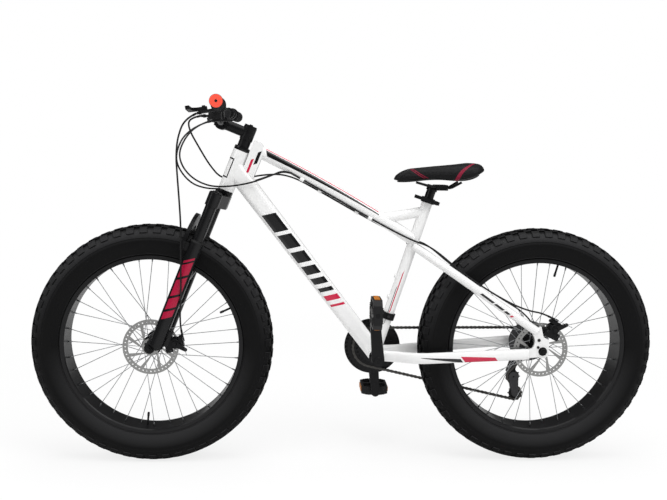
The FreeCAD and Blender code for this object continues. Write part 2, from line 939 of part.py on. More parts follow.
def spokes(label, centre, flange_half):
    """Half of the spokes lean forward and half back, three-cross, from alternate flanges."""
    per_flange = round(float(d.spoke_count) / 2)
    step = 2 * math.pi / per_flange
    cross = math.radians(float(d.spoke_cross))
    hole_radius = float(d.hub_flange_radius) - 3
    rim_radius = float(d.bead_diameter / 2 - d.rim_wall / 2)
    rods = []
    for side in (1, -1):
        for number in range(per_flange):
            lean = 1 if number % 2 else -1
            hub_angle = number * step + (step / 2 if side > 0 else 0)
            rim_angle = hub_angle + lean * cross
            foot = Vector(hole_radius * math.cos(hub_angle), side * float(flange_half) + lean * 2.2,
                          hole_radius * math.sin(hub_angle))
            tip = Vector(rim_radius * math.cos(rim_angle), side * 9, rim_radius * math.sin(rim_angle))
            length = foot.distanceToPoint(tip)
            rods.append(Part.makeCylinder(float(d.spoke_radius), length, foot, tip - foot))
    wires = feature(label, Part.Compound(rods))
    wires.Placement = Placement(centre, Rotation())
    node(label, wires)


def hub(label, centre, dropout_gap, flange_half, rotor_face, right_end):
    bore = d.axle_radius + d.running_gap
    left_end = dropout_gap / 2 - d.fit_gap
    half_flange = d.hub_flange_width / 2
    outline = [
        (bore, -left_end),
        (d.hub_end_radius, -left_end),
        (d.hub_end_radius, -right_end),
        (d.cog_bore - d.running_gap, -right_end),
        (d.cog_bore - d.running_gap, -flange_half - half_flange),
        (d.hub_flange_radius, -flange_half - half_flange),
        (d.hub_flange_radius, half_flange - flange_half),
        (d.hub_radius, half_flange * 4 - flange_half),
        (d.hub_radius, flange_half - half_flange * 4),
        (d.hub_flange_radius, flange_half - half_flange),
        (d.hub_flange_radius, flange_half + half_flange),
        (d.rotor_boss_radius, flange_half + half_flange),
        (d.rotor_boss_radius, rotor_face),
        (d.hub_end_radius, rotor_face),
        (d.hub_end_radius, left_end),
        (bore, left_end),
    ]
    node(label, turned(label, outline, Placement(centre, across)))


def rotor(label, centre, inner_face):
    """A braking ring on curved-sided arms, with round holes through the ring."""
    slots = round(float(d.rotor_slots))
    outer = d.rotor_diameter / 2
    track = outer - d.rotor_track
    body, sketch = body_with_sketch(label, "XZ_Plane")
    draw_circle(sketch, 0, 0, outer)
    draw_circle(sketch, 0, 0, d.hub_end_radius + d.fit_gap)
    pad = body.newObject("PartDesign::Pad", label + "_disc")
    pad.Profile = sketch
    bind(pad, Length=d.rotor_thickness)
    doc.recompute()
    axis = [item for item in body.Origin.OriginFeatures if item.Role == "Y_Axis"][0]
    openings = add_sketch(body, "XZ_Plane")
    half_slot = math.pi / slots * 0.8
    inner = d.rotor_boss_radius + 3
    across_slot = math.sin(half_slot)
    along_slot = math.cos(half_slot)
    swept = math.radians(float(d.rotor_sweep))
    draw(openings, [
        (track * along_slot, -track * across_slot, track),
        (track * along_slot, track * across_slot),
        (inner * math.cos(half_slot - swept), inner * math.sin(half_slot - swept), -inner),
        (inner * math.cos(half_slot + swept), -inner * math.sin(half_slot + swept)),
    ])
    pocket_pattern(body, openings, slots, axis)
    hole = add_sketch(body, "XZ_Plane")
    draw_circle(hole, outer - d.rotor_track / 2, 0, d.rotor_hole_radius)
    pocket_pattern(body, hole, round(float(d.rotor_holes)), axis)
    body.Placement = Placement(centre + LEFT * float(inner_face + d.rotor_thickness), Rotation())
    node(label, body)


def pocket_pattern(body, sketch, count, axis):
    pocket = body.newObject("PartDesign::Pocket", sketch.Name + "_pocket")
    pocket.Profile = sketch
    pocket.Type = "ThroughAll"
    pocket.Reversed = True
    doc.recompute()
    pattern = body.newObject("PartDesign::PolarPattern", sketch.Name + "_ring")
    pattern.Originals = [pocket]
    pattern.Axis = (axis, [""])
    pattern.Angle = 360
    pattern.Occurrences = count
    body.Tip = pattern
    doc.recompute()


def wheel(side_name, centre, dropout_gap, flange_half, stems, right_end):
    rotor_face = dropout_gap / 2 - d.rotor_inset
    rim(side_name + "_rim", centre, stems)
    inner_tube(side_name + "_inner_tube", centre, stems)
    spokes(side_name + "_spokes", centre, flange_half)
    hub(side_name + "_hub", centre, dropout_gap, flange_half, rotor_face, right_end)
    rotor(side_name + "_rotor", centre, rotor_face)


tyres(("front_tyre", front_axle_point), ("rear_tyre", rear_axle_point))
front_right_end = d.front_flange_half + d.hub_flange_width * 2
rear_right_end = d.rear_dropout_gap / 2 - 4
wheel("front", front_axle_point, d.front_dropout_gap, d.front_flange_half, (-85, 155), front_right_end)
wheel("rear", rear_axle_point, d.rear_dropout_gap, d.rear_flange_half, (105,), rear_right_end)


def axle(label, centre, outer_face):
    nut = outer_face + 9
    end = nut + 5
    outline = [
        (0, -end),
        (d.axle_radius, -end),
        (d.axle_radius, -nut),
        (d.axle_radius + 4, -nut),
        (d.axle_radius + 4, -outer_face),
        (d.axle_radius, -outer_face),
        (d.axle_radius, outer_face),
        (d.axle_radius + 4, outer_face),
        (d.axle_radius + 4, nut),
        (d.axle_radius, nut),
        (d.axle_radius, end),
        (0, end),
    ]
    node(label, turned(label, outline, Placement(centre, across)))


axle("rear_axle", rear_axle_point, dropout_inner + d.dropout_thickness)
axle("front_axle", front_axle_point, d.front_dropout_gap / 2 + d.fork_tab_thickness)


# Suspension fork, drawn in the steering frame

uppers = [cylinder(d.steerer_radius, d.stem_lift + d.stem_height / 2 - d.crown_lift,
                   in_steering(placed(vec(0, 0, d.crown_lift))))]
for side in (1, -1):
    uppers.append(cylinder(d.stanchion_radius, d.crown_lift + d.crown_height - d.stanchion_foot_lift,
                           in_steering(placed(vec(d.fork_leg_offset, side * d.fork_leg_spread,
                                                  d.stanchion_foot_lift)))))
    uppers.append(cylinder(d.crown_boss_radius, d.crown_height,
                           in_steering(placed(vec(d.fork_leg_offset, side * d.fork_leg_spread, d.crown_lift)))))
crown_front = d.fork_leg_offset + 12
crown_outline = [
    (crown_front, -d.fork_leg_spread),
    (crown_front, d.fork_leg_spread),
    (d.fork_leg_offset - 14, d.fork_leg_spread),
    (-22, 24),
    (-22, -24),
    (d.fork_leg_offset - 14, -d.fork_leg_spread),
]
uppers.append(plate("crown_bridge", crown_outline, d.crown_height, in_steering(placed(vec(0, 0, d.crown_lift))),
                    role="XY_Plane"))
hollows = [cylinder(d.steerer_radius - d.fork_tube_wall, d.stem_lift + d.stem_height / 2 - d.crown_lift,
                    in_steering(placed(vec(0, 0, d.crown_lift))))]
for side in (1, -1):
    hollows.append(cylinder(d.stanchion_radius - d.fork_tube_wall, d.crown_lift - d.stanchion_foot_lift,
                            in_steering(placed(vec(d.fork_leg_offset, side * d.fork_leg_spread,
                                                   d.stanchion_foot_lift)))))
node("fork_uppers", cut("fork_uppers", fuse("fork_uppers_solid", *uppers), *hollows))

lowers = []
bores = []
tab_inner = d.front_dropout_gap / 2
for side in (1, -1):
    leg_spot = (d.fork_leg_offset, side * d.fork_leg_spread)
    lowers.append(cylinder(d.leg_radius, d.leg_top_lift - d.leg_foot_lift,
                           in_steering(placed(vec(*leg_spot, d.leg_foot_lift)))))
    bores.append(cylinder(d.stanchion_radius + d.running_gap, d.leg_top_lift - d.stanchion_foot_lift
                          + d.fork_travel + 20,
                          in_steering(placed(vec(*leg_spot, d.stanchion_foot_lift - d.fork_travel - 20)))))
    tab_outline = [
        (d.fork_leg_offset - 17, d.leg_foot_lift + 34),
        (d.fork_leg_offset - 13, d.leg_foot_lift - 8),
        (d.fork_rake - 15, 0, 15),
        (d.fork_rake + 15, 0),
        (d.fork_leg_offset + 19, d.leg_foot_lift + 50),
    ]
    tab_face = tab_inner + d.fork_tab_thickness if side > 0 else -tab_inner
    lowers.append(plate("fork_tab", tab_outline, d.fork_tab_thickness,
                        in_steering(Placement(vec(0, tab_face, 0), Rotation())),
                        [(d.fork_rake, 0, d.axle_radius + d.running_gap)]))
arch_inner = d.fork_leg_spread - 17
arch_outer = d.fork_leg_spread + 17
arch_outline = [
    (-arch_outer, d.leg_top_lift - 30),
    (-arch_inner, d.leg_top_lift - 30),
    (-arch_inner, d.leg_top_lift - 6, -69),
    (arch_inner, d.leg_top_lift - 6),
    (arch_inner, d.leg_top_lift - 30),
    (arch_outer, d.leg_top_lift - 30),
    (arch_outer, d.leg_top_lift - 6, 100),
    (-arch_outer, d.leg_top_lift - 6),
]
arch_back = d.fork_leg_offset + d.leg_radius + d.arch_gap
arch_place = in_steering(placed(vec(arch_back, 0, 0)))
lowers.append(plate("fork_arch", arch_outline, d.arch_thickness, arch_place, role="YZ_Plane"))
lug_width = 24
lug_bite = 3
for side in (1, -1):
    lug_corner = vec(arch_back - d.arch_gap - lug_bite, side * d.fork_leg_spread - lug_width / 2,
                     d.leg_top_lift - 30)
    lowers.append(box(lug_bite + d.arch_gap + d.arch_thickness, lug_width, 24, in_steering(placed(lug_corner))))
lowers.append(box(24, 10, 46, in_steering(placed(vec(-16, tab_inner, 22)))))
node("fork_lowers", cut("fork_lowers", fuse("fork_lowers_cast", *lowers), *bores))


# Stem, handlebar, grips and controls

stem_point = vec(d.stem_reach, 0, d.stem_lift)
spacer_foot = d.head_tube_lift + d.head_tube_length + d.cup_height + d.fit_gap
stem_block = fuse(
    "stem_block",
    cylinder(d.stem_radius, d.stem_height, in_steering(placed(vec(0, 0, d.stem_lift - d.stem_height / 2)))),
    cylinder(d.stem_radius - 2, d.stem_lift - spacer_foot, in_steering(placed(vec(0, 0, spacer_foot)))),
    cylinder(d.stem_radius - 4, d.stem_reach, in_steering(placed(vec(0, 0, d.stem_lift), FORWARD))),
    cylinder(d.bar_clamp_radius + 7, 44, in_steering(Placement(stem_point - LEFT * 22, across))),
    cylinder(d.stem_radius - 1, 4, in_steering(placed(vec(0, 0, d.stem_lift + d.stem_height / 2)))),
)
node("stem", cut(
    "stem", stem_block,
    cylinder(d.steerer_radius + d.running_gap, d.stem_lift + d.stem_height / 2 - spacer_foot,
             in_steering(placed(vec(0, 0, spacer_foot)))),
    cylinder(d.bar_clamp_radius + d.running_gap, 50, in_steering(Placement(stem_point - LEFT * 25, across))),
))

clamp_point = steer(d.stem_reach, 0, d.stem_lift)
lever_offset = d.bar_half_width - d.grip_length - d.lever_clamp_inset
shifter_offset = lever_offset - d.shifter_spacing
bar_shoulder = vec(-d.bar_sweep / 3, shifter_offset - d.bar_shoulder_inset, d.bar_rise)
bar_end = vec(-d.bar_sweep, d.bar_half_width, d.bar_rise)


def mirrored(point, side):
    return Vector(point.x, point.y * side, point.z)


def on_bar(distance, side):
    """A point on the bar's straight end, at a distance from the middle of the bike."""
    share = (float(distance) - bar_shoulder.y) / (bar_end.y - bar_shoulder.y)
    point = bar_shoulder + (bar_end - bar_shoulder) * share
    return clamp_point + mirrored(point, side)


def bar_out(side):
    return mirrored(bar_end - bar_shoulder, side).normalize()


droop = Rotation(LEFT, float(d.lever_droop))


def at_lever(side, offset):
    """A place in the lever's own frame, which droops ahead of the bar."""
    return Placement(on_bar(lever_offset, side) + droop.multVec(offset), droop)


bar_points = [
    clamp_point + mirrored(bar_end, -1),
    clamp_point + mirrored(bar_shoulder, -1),
    clamp_point - LEFT * float(d.bar_centre),
    clamp_point + LEFT * float(d.bar_centre),
    clamp_point + bar_shoulder,
    clamp_point + bar_end,
]
bar_wire = bent_wire(bar_points, 70)[0]
bar_hub = cylinder(d.bar_clamp_radius, d.bar_centre * 1.4,
                   Placement(clamp_point - LEFT * float(d.bar_centre * 0.7), across))
node("handlebar", fuse("handlebar", rod("handlebar_tube", bar_wire, d.bar_radius), bar_hub))

grips = []
plugs = []
mounts = []
pods = []
for side in (1, -1):
    inner_end = on_bar(d.bar_half_width - d.grip_length, side)
    grip_place = placed(inner_end, bar_out(side))
    bore = d.bar_radius + d.running_gap
    grip_outline = [
        (bore, 0),
        (d.grip_radius + 3, 0),
        (d.grip_radius + 3, 4),
        (d.grip_radius - 1, 7),
        (d.grip_radius, d.grip_length * 0.4),
        (d.grip_radius, d.grip_length),
        (bore, d.grip_length),
    ]
    grips.append(turned("grip", grip_outline, grip_place))
    plugs.append(cylinder(d.grip_radius - 1, d.plug_thickness,
                          placed(on_bar(d.bar_half_width, side) + bar_out(side) * float(d.fit_gap), bar_out(side))))
    # Brake lever mount: a clamp on the bar and a perch ahead of it, under the lever
    mount_centre = on_bar(lever_offset, side)
    ring_place = placed(mount_centre - bar_out(side) * 9, bar_out(side))
    perch = plate("lever_perch", [
        (0, -11),
        (d.lever_reach - 2, -13, 13),
        (d.lever_reach - 2, 13),
        (0, 11),
    ], 7, at_lever(side, vec(0, 0, -d.lever_thickness / 2 - 7 - d.fit_gap)), role="XY_Plane")
    pin = cylinder(d.lever_pin_radius, d.lever_thickness + 8,
                   at_lever(side, vec(d.lever_reach, 0, -d.lever_thickness / 2 - 6)))
    barrel = cylinder(d.barrel_radius, 18, at_lever(side, vec(44, -side * 6, -8.3)).multiply(placed(Vector(), FORWARD)))
    solid = fuse("lever_mount_solid", cylinder(bore + d.control_clamp_wall, 18, ring_place), perch, pin, barrel)
    mounts.append(cut("lever_mount", solid, cylinder(bore, 60, placed(mount_centre - bar_out(side) * 30,
                                                                      bar_out(side)))))
    # Shifter: a clamp on the bar and a round pod under it
    pod_centre = on_bar(shifter_offset, side)
    pod_place = placed(pod_centre + vec(14, 0, -16 - float(d.pod_height)))
    solid = fuse("shifter_solid",
                 cylinder(bore + d.control_clamp_wall, 14, placed(pod_centre - bar_out(side) * 7, bar_out(side))),
                 cylinder(d.pod_radius, d.pod_height, pod_place),
                 box(16, 12, 18, Placement(pod_centre + vec(4, -6, -20), Rotation())),
                 cylinder(d.barrel_radius, 30, placed(pod_centre + vec(20, 0, -25), FORWARD)))
    pods.append(cut("shifter_housing", solid, cylinder(bore, 60, placed(pod_centre - bar_out(side) * 30,
                                                                        bar_out(side)))))
group("grips", *grips)
group("grip_plugs", *plugs)
group("bar_controls", *mounts, *pods)

lever_blade = [
    (-8, -7),
    (6, -9),
    (28, 8, 30),
    (38, 34),
    (34, 112, 6),
    (24, 112),
    (26, 38),
    (16, 16),
    (-8, 8),
]
shift_paddle = [
    (0, -6),
    (6, 0, 8),
    (-2, 7),
    (-40, 13, 7),
    (-42, 2),
]


def handed(outline, side):
    """The outline for the left side, or for the right its mirror image run the other way round."""
    if side > 0:
        return outline
    flipped = []
    for number in range(len(outline)):
        x, y = outline[-number][:2]
        bend = outline[-number - 1][2:]
        flipped.append((x, -y, *bend))
    return flipped


for side, name in ((1, "brake_lever_left"), (-1, "brake_lever_right")):
    outline = handed(lever_blade, side)
    node(name, plate(name, outline, d.lever_thickness, at_lever(side, vec(d.lever_reach, 0, -d.lever_thickness / 2)),
                     [(0, 0, d.lever_pin_radius + d.running_gap)], "XY_Plane"))

for side, name in ((1, "shifter_lever_left"), (-1, "shifter_lever_right")):
    pod_centre = on_bar(shifter_offset, side)
    paddle = handed(shift_paddle, side)
    paddle_place = placed(pod_centre + vec(14, 0, -16 - float(d.pod_height + d.fit_gap) - 5))
    node(name, plate(name, paddle, 5, paddle_place, role="XY_Plane"))


# Seat

seat_top = d.seat_tube_length
collar_outline = [
    (d.seat_tube_radius + d.running_gap, 0),
    (d.seat_tube_radius + d.seat_collar_wall, 0),
    (d.seat_tube_radius + d.seat_collar_wall, d.seat_collar_height),
    (d.seatpost_radius + d.fit_gap, d.seat_collar_height),
    (d.seatpost_radius + d.fit_gap, d.seat_collar_height - 2),
    (d.seat_tube_radius + d.running_gap, d.seat_collar_height - 2),
]
collar_place = placed(on_seat_axis(seat_top - d.seat_collar_height + 2), seat_up)
collar_ring = turned("seat_collar_ring", collar_outline, collar_place)
seat_back = seat_ahead * -1
ear_middle = on_seat_axis(seat_top - d.seat_collar_height / 2 + 2) + seat_back * float(d.seat_tube_radius + 8)
seat_turn = Rotation(LEFT, float(d.seat_angle) - 90)
ear = box(16, 20, 12, Placement(ear_middle - seat_up * 6 + seat_back * 6 - LEFT * 10, seat_turn))
skewer = cylinder(3, 38, Placement(ear_middle - LEFT * 19.5, across))
ear_clear = cylinder(d.seat_tube_radius + d.running_gap, 60, placed(on_seat_axis(seat_top - 45), seat_up))
ear_cut = cut("seat_clamp_ear", ear, ear_clear)
node("seat_clamp", fuse("seat_clamp", collar_ring, ear_cut, skewer))
lever_place = Placement(ear_middle + LEFT * 26 - seat_up * 5, seat_turn)
lever_outline = [
    (0, -7),
    (66, -4, 4.6),
    (66, 5),
    (0, 7, 7),
]
node("seat_clamp_lever", plate("seat_clamp_lever", lever_outline, 10, lever_place, role="XY_Plane"))

post_top = seat_top + d.seatpost_show
post_outline = [
    (d.seatpost_radius - d.tube_wall, 0),
    (d.seatpost_radius, 0),
    (d.seatpost_radius, d.seatpost_length),
    (d.seatpost_radius - d.tube_wall, d.seatpost_length),
]
post_place = placed(on_seat_axis(post_top - d.seatpost_length), seat_up)
node("seatpost", turned("seatpost", post_outline, post_place))

# Saddle sections from nose to tail: distance behind the nose, width, crown height, underside height
saddle_nose = on_seat_axis(post_top) + vec(116, 0, 16)
SADDLE_SECTIONS = (
    (0, 28, 14, 4),
    (14, 40, 26, 4),
    (48, 44, 36, 5),
    (92, 58, 41, 10),
    (140, 92, 46, 12),
    (186, 128, 51, 10),
    (216, 144, 55, 14),
    (242, 130, 57, 26),
    (258, 96, 53, 36),
)


def saddle_wire(behind, width, crown, under):
    """A crowned section with drawn-in sides: a straight underside and three arcs."""
    half = width / 2
    shoulder = under + (crown - under) * 0.72

    def spot(side, height):
        return saddle_nose + Vector(-behind, side, height)

    low_left = spot(half * 0.8, under)
    low_right = spot(-half * 0.8, under)
    high_left = spot(half * 0.86, shoulder)
    high_right = spot(-half * 0.86, shoulder)
    waist = under + (shoulder - under) * 0.55
    return Part.Wire([
        Part.LineSegment(low_right, low_left).toShape(),
        Part.Arc(low_left, spot(half, waist), high_left).toShape(),
        Part.Arc(high_left, spot(0, crown), high_right).toShape(),
        Part.Arc(high_right, spot(-half, waist), low_right).toShape(),
    ])


def base_wire(behind, width, crown, under):
    half = width / 2 * 0.74
    top = under - float(d.saddle_gap)
    low = top - float(d.saddle_base_thickness)

    def spot(side, height):
        return saddle_nose + Vector(-behind, side, height)

    return Part.makePolygon([spot(-half, top), spot(half, top), spot(half * 0.9, low), spot(-half * 0.9, low),
                             spot(-half, top)])


node("saddle_pad", feature("saddle_pad", Part.makeLoft([saddle_wire(*row) for row in SADDLE_SECTIONS], True)))
base_rows = SADDLE_SECTIONS[1:-1]
node("saddle_base", feature("saddle_base", Part.makeLoft([base_wire(*row) for row in base_rows], True)))
rail_depth = -float(d.saddle_gap + d.saddle_base_thickness + d.rail_radius + d.fit_gap)
rails = []
for side in (1, -1):
    rail_points = [
        saddle_nose + vec(-70, side * 12, rail_depth + 7.2),
        saddle_nose + vec(-112, side * d.rail_spread, -14),
        saddle_nose + vec(-166, side * d.rail_spread, -17),
        saddle_nose + vec(-196, side * d.rail_spread * 1.3, rail_depth + 10.2),
    ]
    rails.append(rod("saddle_rail", bent_wire(rail_points, 25)[0], d.rail_radius))
clamp_middle = saddle_nose + vec(-139, 0, -16)
clamp_block = fuse("saddle_clamp_block",
                   box(34, float(d.rail_spread) * 2 + 20, 16,
                       Placement(clamp_middle + vec(-17, -float(d.rail_spread) - 10, -8), Rotation())),
                   cylinder(d.seatpost_radius + 2.5, 16, placed(on_seat_axis(post_top - 10), seat_up)))
saddle_clamp = cut("saddle_clamp", clamp_block, *rails, nodes["seatpost"])
group("saddle_mount", saddle_clamp, *rails)


# Drive: cranks, rings, cogs, derailleurs and chain

crank_turn = Rotation(LEFT, float(d.crank_tilt))
crank_frame = Placement(shell_point, crank_turn)


def in_crank(place):
    return crank_frame.multiply(place)


crank_outer = d.crank_inner + d.crank_thickness
arms = []
for side in (1, -1):
    tip = d.crank_length * side
    if side > 0:
        outline = [
            (-d.crank_boss_radius, 0, d.crank_boss_radius),
            (d.crank_boss_radius, 0),
            (d.crank_tip_radius, tip, d.crank_tip_radius),
            (-d.crank_tip_radius, tip),
        ]
    else:
        outline = [
            (d.crank_boss_radius, 0, d.crank_boss_radius),
            (-d.crank_boss_radius, 0),
            (-d.crank_tip_radius, tip, d.crank_tip_radius),
            (d.crank_tip_radius, tip),
        ]
    face = crank_outer if side > 0 else -d.crank_inner
    arm = plate("crank_arm_plate", outline, d.crank_thickness, in_crank(Placement(vec(0, face, 0), Rotation())),
                [(0, 0, d.spindle_radius)])
    start = d.crank_inner if side > 0 else -d.crank_inner - d.pedal_width - 20
    pedal_pin = cylinder(d.pedal_spindle_radius, d.pedal_width + 20, in_crank(Placement(vec(0, start, tip), across)))
    arms.append(fuse("crank_arm", arm, pedal_pin))
spindle = cylinder(d.spindle_radius, crank_outer * 2, Placement(shell_point - LEFT * float(crank_outer), across))
group("crank_arms", spindle, *arms)

ring_windows = [window(24, 50, math.radians(90 * number + 14), math.radians(90 * number + 76))
                for number in range(4)]

def chain_guard(windows):
    """A smooth disc outside the largest ring, with the same windows."""
    rim = Part.Wire(Part.makeCircle(float(d.guard_radius), Vector(), LEFT))
    bore = Part.Wire(Part.makeCircle(float(d.spindle_radius), Vector(), LEFT))
    face = Part.Face([rim, bore] + windows, "Part::FaceMakerBullseye")
    disc = feature("chain_guard", face.extrude(LEFT * float(d.guard_thickness)))
    disc.Placement = Placement(shell_point - LEFT * float(d.crank_inner - d.guard_gap), Rotation())
    return disc


rings = []
for number, teeth in enumerate((d.small_ring_teeth, d.ring_teeth, d.large_ring_teeth)):
    line = -d.chain_line - d.ring_spacing * (number - 1)
    rings.append(sprocket("chainring", teeth, line, d.spindle_radius, shell_point,
                          ring_windows if number == 2 else ()))
rings.append(chain_guard(ring_windows))
spider = cylinder(d.crank_boss_radius, d.crank_inner - d.chain_line + d.ring_spacing,
                  Placement(shell_point - LEFT * float(d.crank_inner), across))
spider_cut = cut("ring_spider", spider, spindle, *rings)
group("chainrings", spider_cut, *rings)

for side, name in ((1, "pedal_left"), (-1, "pedal_right")):
    half_length = d.pedal_length / 2
    half_width = d.pedal_width / 2
    outline = [
        (-half_length, -half_width + 12),
        (-half_length + 14, -half_width),
        (half_length - 14, -half_width),
        (half_length, -half_width + 12),
        (half_length, half_width - 12),
        (half_length - 14, half_width),
        (-half_length + 14, half_width),
        (-half_length, half_width - 12),
    ]
    body, sketch = body_with_sketch(name + "_body", "XY_Plane")
    draw(sketch, outline)
    for row in (-1, 1):
        for column in (-1, 1):
            near_x = row * 12
            far_x = row * (half_length - 7)
            near_y = column * 5
            far_y = column * (half_width - 9)
            loop = [(near_x, near_y), (far_x, near_y), (far_x, far_y), (near_x, far_y)]
            draw(sketch, loop)
    pad = body.newObject("PartDesign::Pad", name + "_pad")
    pad.Profile = sketch
    bind(pad, Length=d.pedal_thickness)
    turn = Rotation(LEFT, 90) if side > 0 else Rotation()
    centre = in_crank(placed(vec(0, side * (crank_outer + 6 + half_width), side * d.crank_length))).Base
    down = turn.multVec(UP) * float(d.pedal_thickness / 2)
    body.Placement = Placement(centre - down, turn)
    bore = cylinder(d.pedal_spindle_radius + d.running_gap, d.pedal_width + 10,
                    Placement(centre - LEFT * float(half_width + 5), across))
    node(name, cut(name, body, bore))

cog_row = (14, 16, 18, 20, 22, 24, 28)
cogs = []
for number, teeth in enumerate(cog_row):
    line = -d.chain_line + d.cog_spacing * (number - 2)
    cogs.append(sprocket("cog", teeth, line, d.cog_bore, rear_axle_point))
first_line = d.chain_line + d.cog_spacing * 2 + d.tooth_thickness / 2
last_line = d.chain_line - d.cog_spacing * 4 - d.tooth_thickness / 2
core_outline = [
    (d.cog_bore, -first_line),
    (d.cog_bore + 3, -first_line),
    (d.cog_bore + 3, -last_line),
    (d.cog_bore, -last_line),
]
cog_core = turned("freewheel_core", core_outline, Placement(rear_axle_point, across))
node("freewheel_cogs", fuse("freewheel_cogs", cog_core, *cogs))

ring_radius = pitch_radius(d.ring_teeth)
cog_radius = pitch_radius(d.cog_teeth)
pulley_radius = pitch_radius(d.pulley_teeth)
guide_point = rear_axle_point + vec(36, 0, -119)
tension_point = rear_axle_point + vec(30, 0, -172)


def chain_loop():
    """The chain's path: tangents and arcs round the ring, the two pulleys and the cog."""
    stops = [
        (shell_point, ring_radius, -1),
        (tension_point, pulley_radius, -1),
        (guide_point, pulley_radius, 1),
        (rear_axle_point, cog_radius, -1),
    ]
    legs = []
    for (here, radius, sense), (there, next_radius, next_sense) in zip(stops, stops[1:] + stops[:1]):
        away = there - here
        length = math.hypot(away.x, away.z)
        angle = math.atan2(away.z, away.x)
        angle -= math.asin((next_sense * next_radius - sense * radius) / length)
        left = Vector(-math.sin(angle), 0, math.cos(angle))
        legs.append((Vector(here.x, 0, here.z) - left * (sense * radius),
                     Vector(there.x, 0, there.z) - left * (next_sense * next_radius)))
    edges = []
    for number, (centre, radius, sense) in enumerate(stops):
        arrive = legs[number - 1][1]
        leave = legs[number][0]
        core = Vector(centre.x, 0, centre.z)
        start = math.atan2(arrive.z - core.z, arrive.x - core.x)
        stop = math.atan2(leave.z - core.z, leave.x - core.x)
        sweep = (stop - start) % (2 * math.pi) if sense > 0 else -((start - stop) % (2 * math.pi))
        middle = start + sweep / 2
        bend = core + Vector(radius * math.cos(middle), 0, radius * math.sin(middle))
        edges.append(Part.Arc(arrive, bend, leave).toShape())
        edges.append(Part.LineSegment(leave, legs[number][1]).toShape())
    return Part.Wire(edges)


loop = chain_loop()
half_chain = float(d.chain_height) / 2
outer_loop = loop.makeOffset2D(half_chain)
inner_loop = loop.makeOffset2D(-half_chain)
band = Part.Face([outer_loop, inner_loop], "Part::FaceMakerBullseye")
bands = []
for side in (1, -1):
    start = -float(d.chain_line) + (float(d.chain_gap) / 2 if side > 0
                                    else -float(d.chain_gap) / 2 - float(d.chain_plate))
    strip = feature("chain_plates", band.extrude(LEFT * float(d.chain_plate)))
    strip.Placement = Placement(LEFT * start, Rotation())
    bands.append(strip)
group("chain", *bands)

# Rear derailleur: knuckle at the hanger, swinging link, cage and two pulleys
for label, point in (("guide_pulley", guide_point), ("tension_pulley", tension_point)):
    node(label, sprocket(label, d.pulley_teeth, -d.chain_line, 3 + d.running_gap, point))
hanger_point = rear_axle_point + vec(16, 0, -34)
knuckle_inner = dropout_inner
knuckle_face = knuckle_inner + d.dropout_thickness
hanger = plate("derailleur_hanger", [
    (6, -18),
    (30, -20),
    (27, -38, 12),
    (5, -38),
], d.dropout_thickness, Placement(rear_axle_point - LEFT * float(knuckle_inner), Rotation()))
hanger_cut = cut("derailleur_hanger_cut", hanger, dropouts[1])
knuckle = cylinder(11, 22, Placement(hanger_point - LEFT * float(knuckle_face), across_right))
link_middle = knuckle_face + 11
hinge_barrel = cylinder(12.8, 14, placed(hanger_point - LEFT * float(link_middle) - FORWARD * 7, FORWARD))
rear_mount = fuse("rear_derailleur_mount", hanger_cut, knuckle, hinge_barrel)

link_face = link_middle - 7
link_outline = [
    (-12, -13.4),
    (12, -13.4),
    (36, -86, 13),
    (10, -86),
]
link_place = Placement(hanger_point - LEFT * float(link_face), Rotation())
link_plate = plate("derailleur_link_plate", link_outline, 14, link_place)
cage_pin = cylinder(3, knuckle_face + 8 - d.chain_line + 6,
                    Placement(guide_point - LEFT * float(knuckle_face + 8), across))
node("derailleur_link", fuse("derailleur_link", link_plate, cage_pin))

cage_long = guide_point.distanceToPoint(tension_point)
cage_lean = math.degrees(math.atan2(guide_point.x - tension_point.x, guide_point.z - tension_point.z))
cage_plates = []
cage_gap = d.chain_gap / 2 + d.chain_plate + 1
for offset in (cage_gap, -cage_gap - 2):
    cage_outline = [
        (-15, 0),
        (-11, -cage_long, 11),
        (11, -cage_long),
        (15, 0, 15),
    ]
    place = Placement(guide_point + LEFT * float(-d.chain_line + offset + 2), Rotation(LEFT, cage_lean))
    cage_plates.append(plate("cage_plate", cage_outline, 2, place, [(0, 0, 3 + d.running_gap)]))
axle_start = -d.chain_line - cage_gap - 2
cage_axle = cylinder(3, cage_gap * 2 + 4, Placement(tension_point + LEFT * float(axle_start), across))
node("derailleur_cage", fuse("derailleur_cage", cage_axle, *cage_plates))

# Front derailleur: a clamp on the seat tube and a cage over the rings
clamp_lift = 119
clamp_outline = [
    (d.seat_tube_radius + d.running_gap, -10),
    (d.seat_tube_radius + 5, -10),
    (d.seat_tube_radius + 5, 10),
    (d.seat_tube_radius + d.running_gap, 10),
]
clamp_ring = turned("front_derailleur_ring", clamp_outline, placed(on_seat_axis(clamp_lift), seat_up))
clamp_spot = on_seat_axis(clamp_lift)
clamp_arm = box(22, 34, 14, Placement(clamp_spot + vec(-20, -float(d.seat_tube_radius) - 32, -7), Rotation()))
clamp_clear = cylinder(d.seat_tube_radius + d.running_gap, 80, placed(on_seat_axis(clamp_lift - 40), seat_up))
front_mount = cut("front_derailleur_clamp", fuse("front_derailleur_solid", clamp_ring, clamp_arm), clamp_clear)
group("derailleur_mounts", rear_mount, front_mount)
cage_high = [
    (-4, 95),
    (-56, 84),
    (-62, 96),
    (-50, 112),
    (-4, 112),
]
fd_plates = []
for outer in (False, True):
    line = -d.chain_line - 5.4 if outer else -d.chain_line + 4.2
    fd_plates.append(plate("front_cage_plate", cage_high, 1.2,
                           Placement(shell_point + LEFT * float(line + 0.6), Rotation())))
bridge = box(40, 10.8, 3, Placement(shell_point + vec(-48, -float(d.chain_line) - 6, 109), Rotation()))
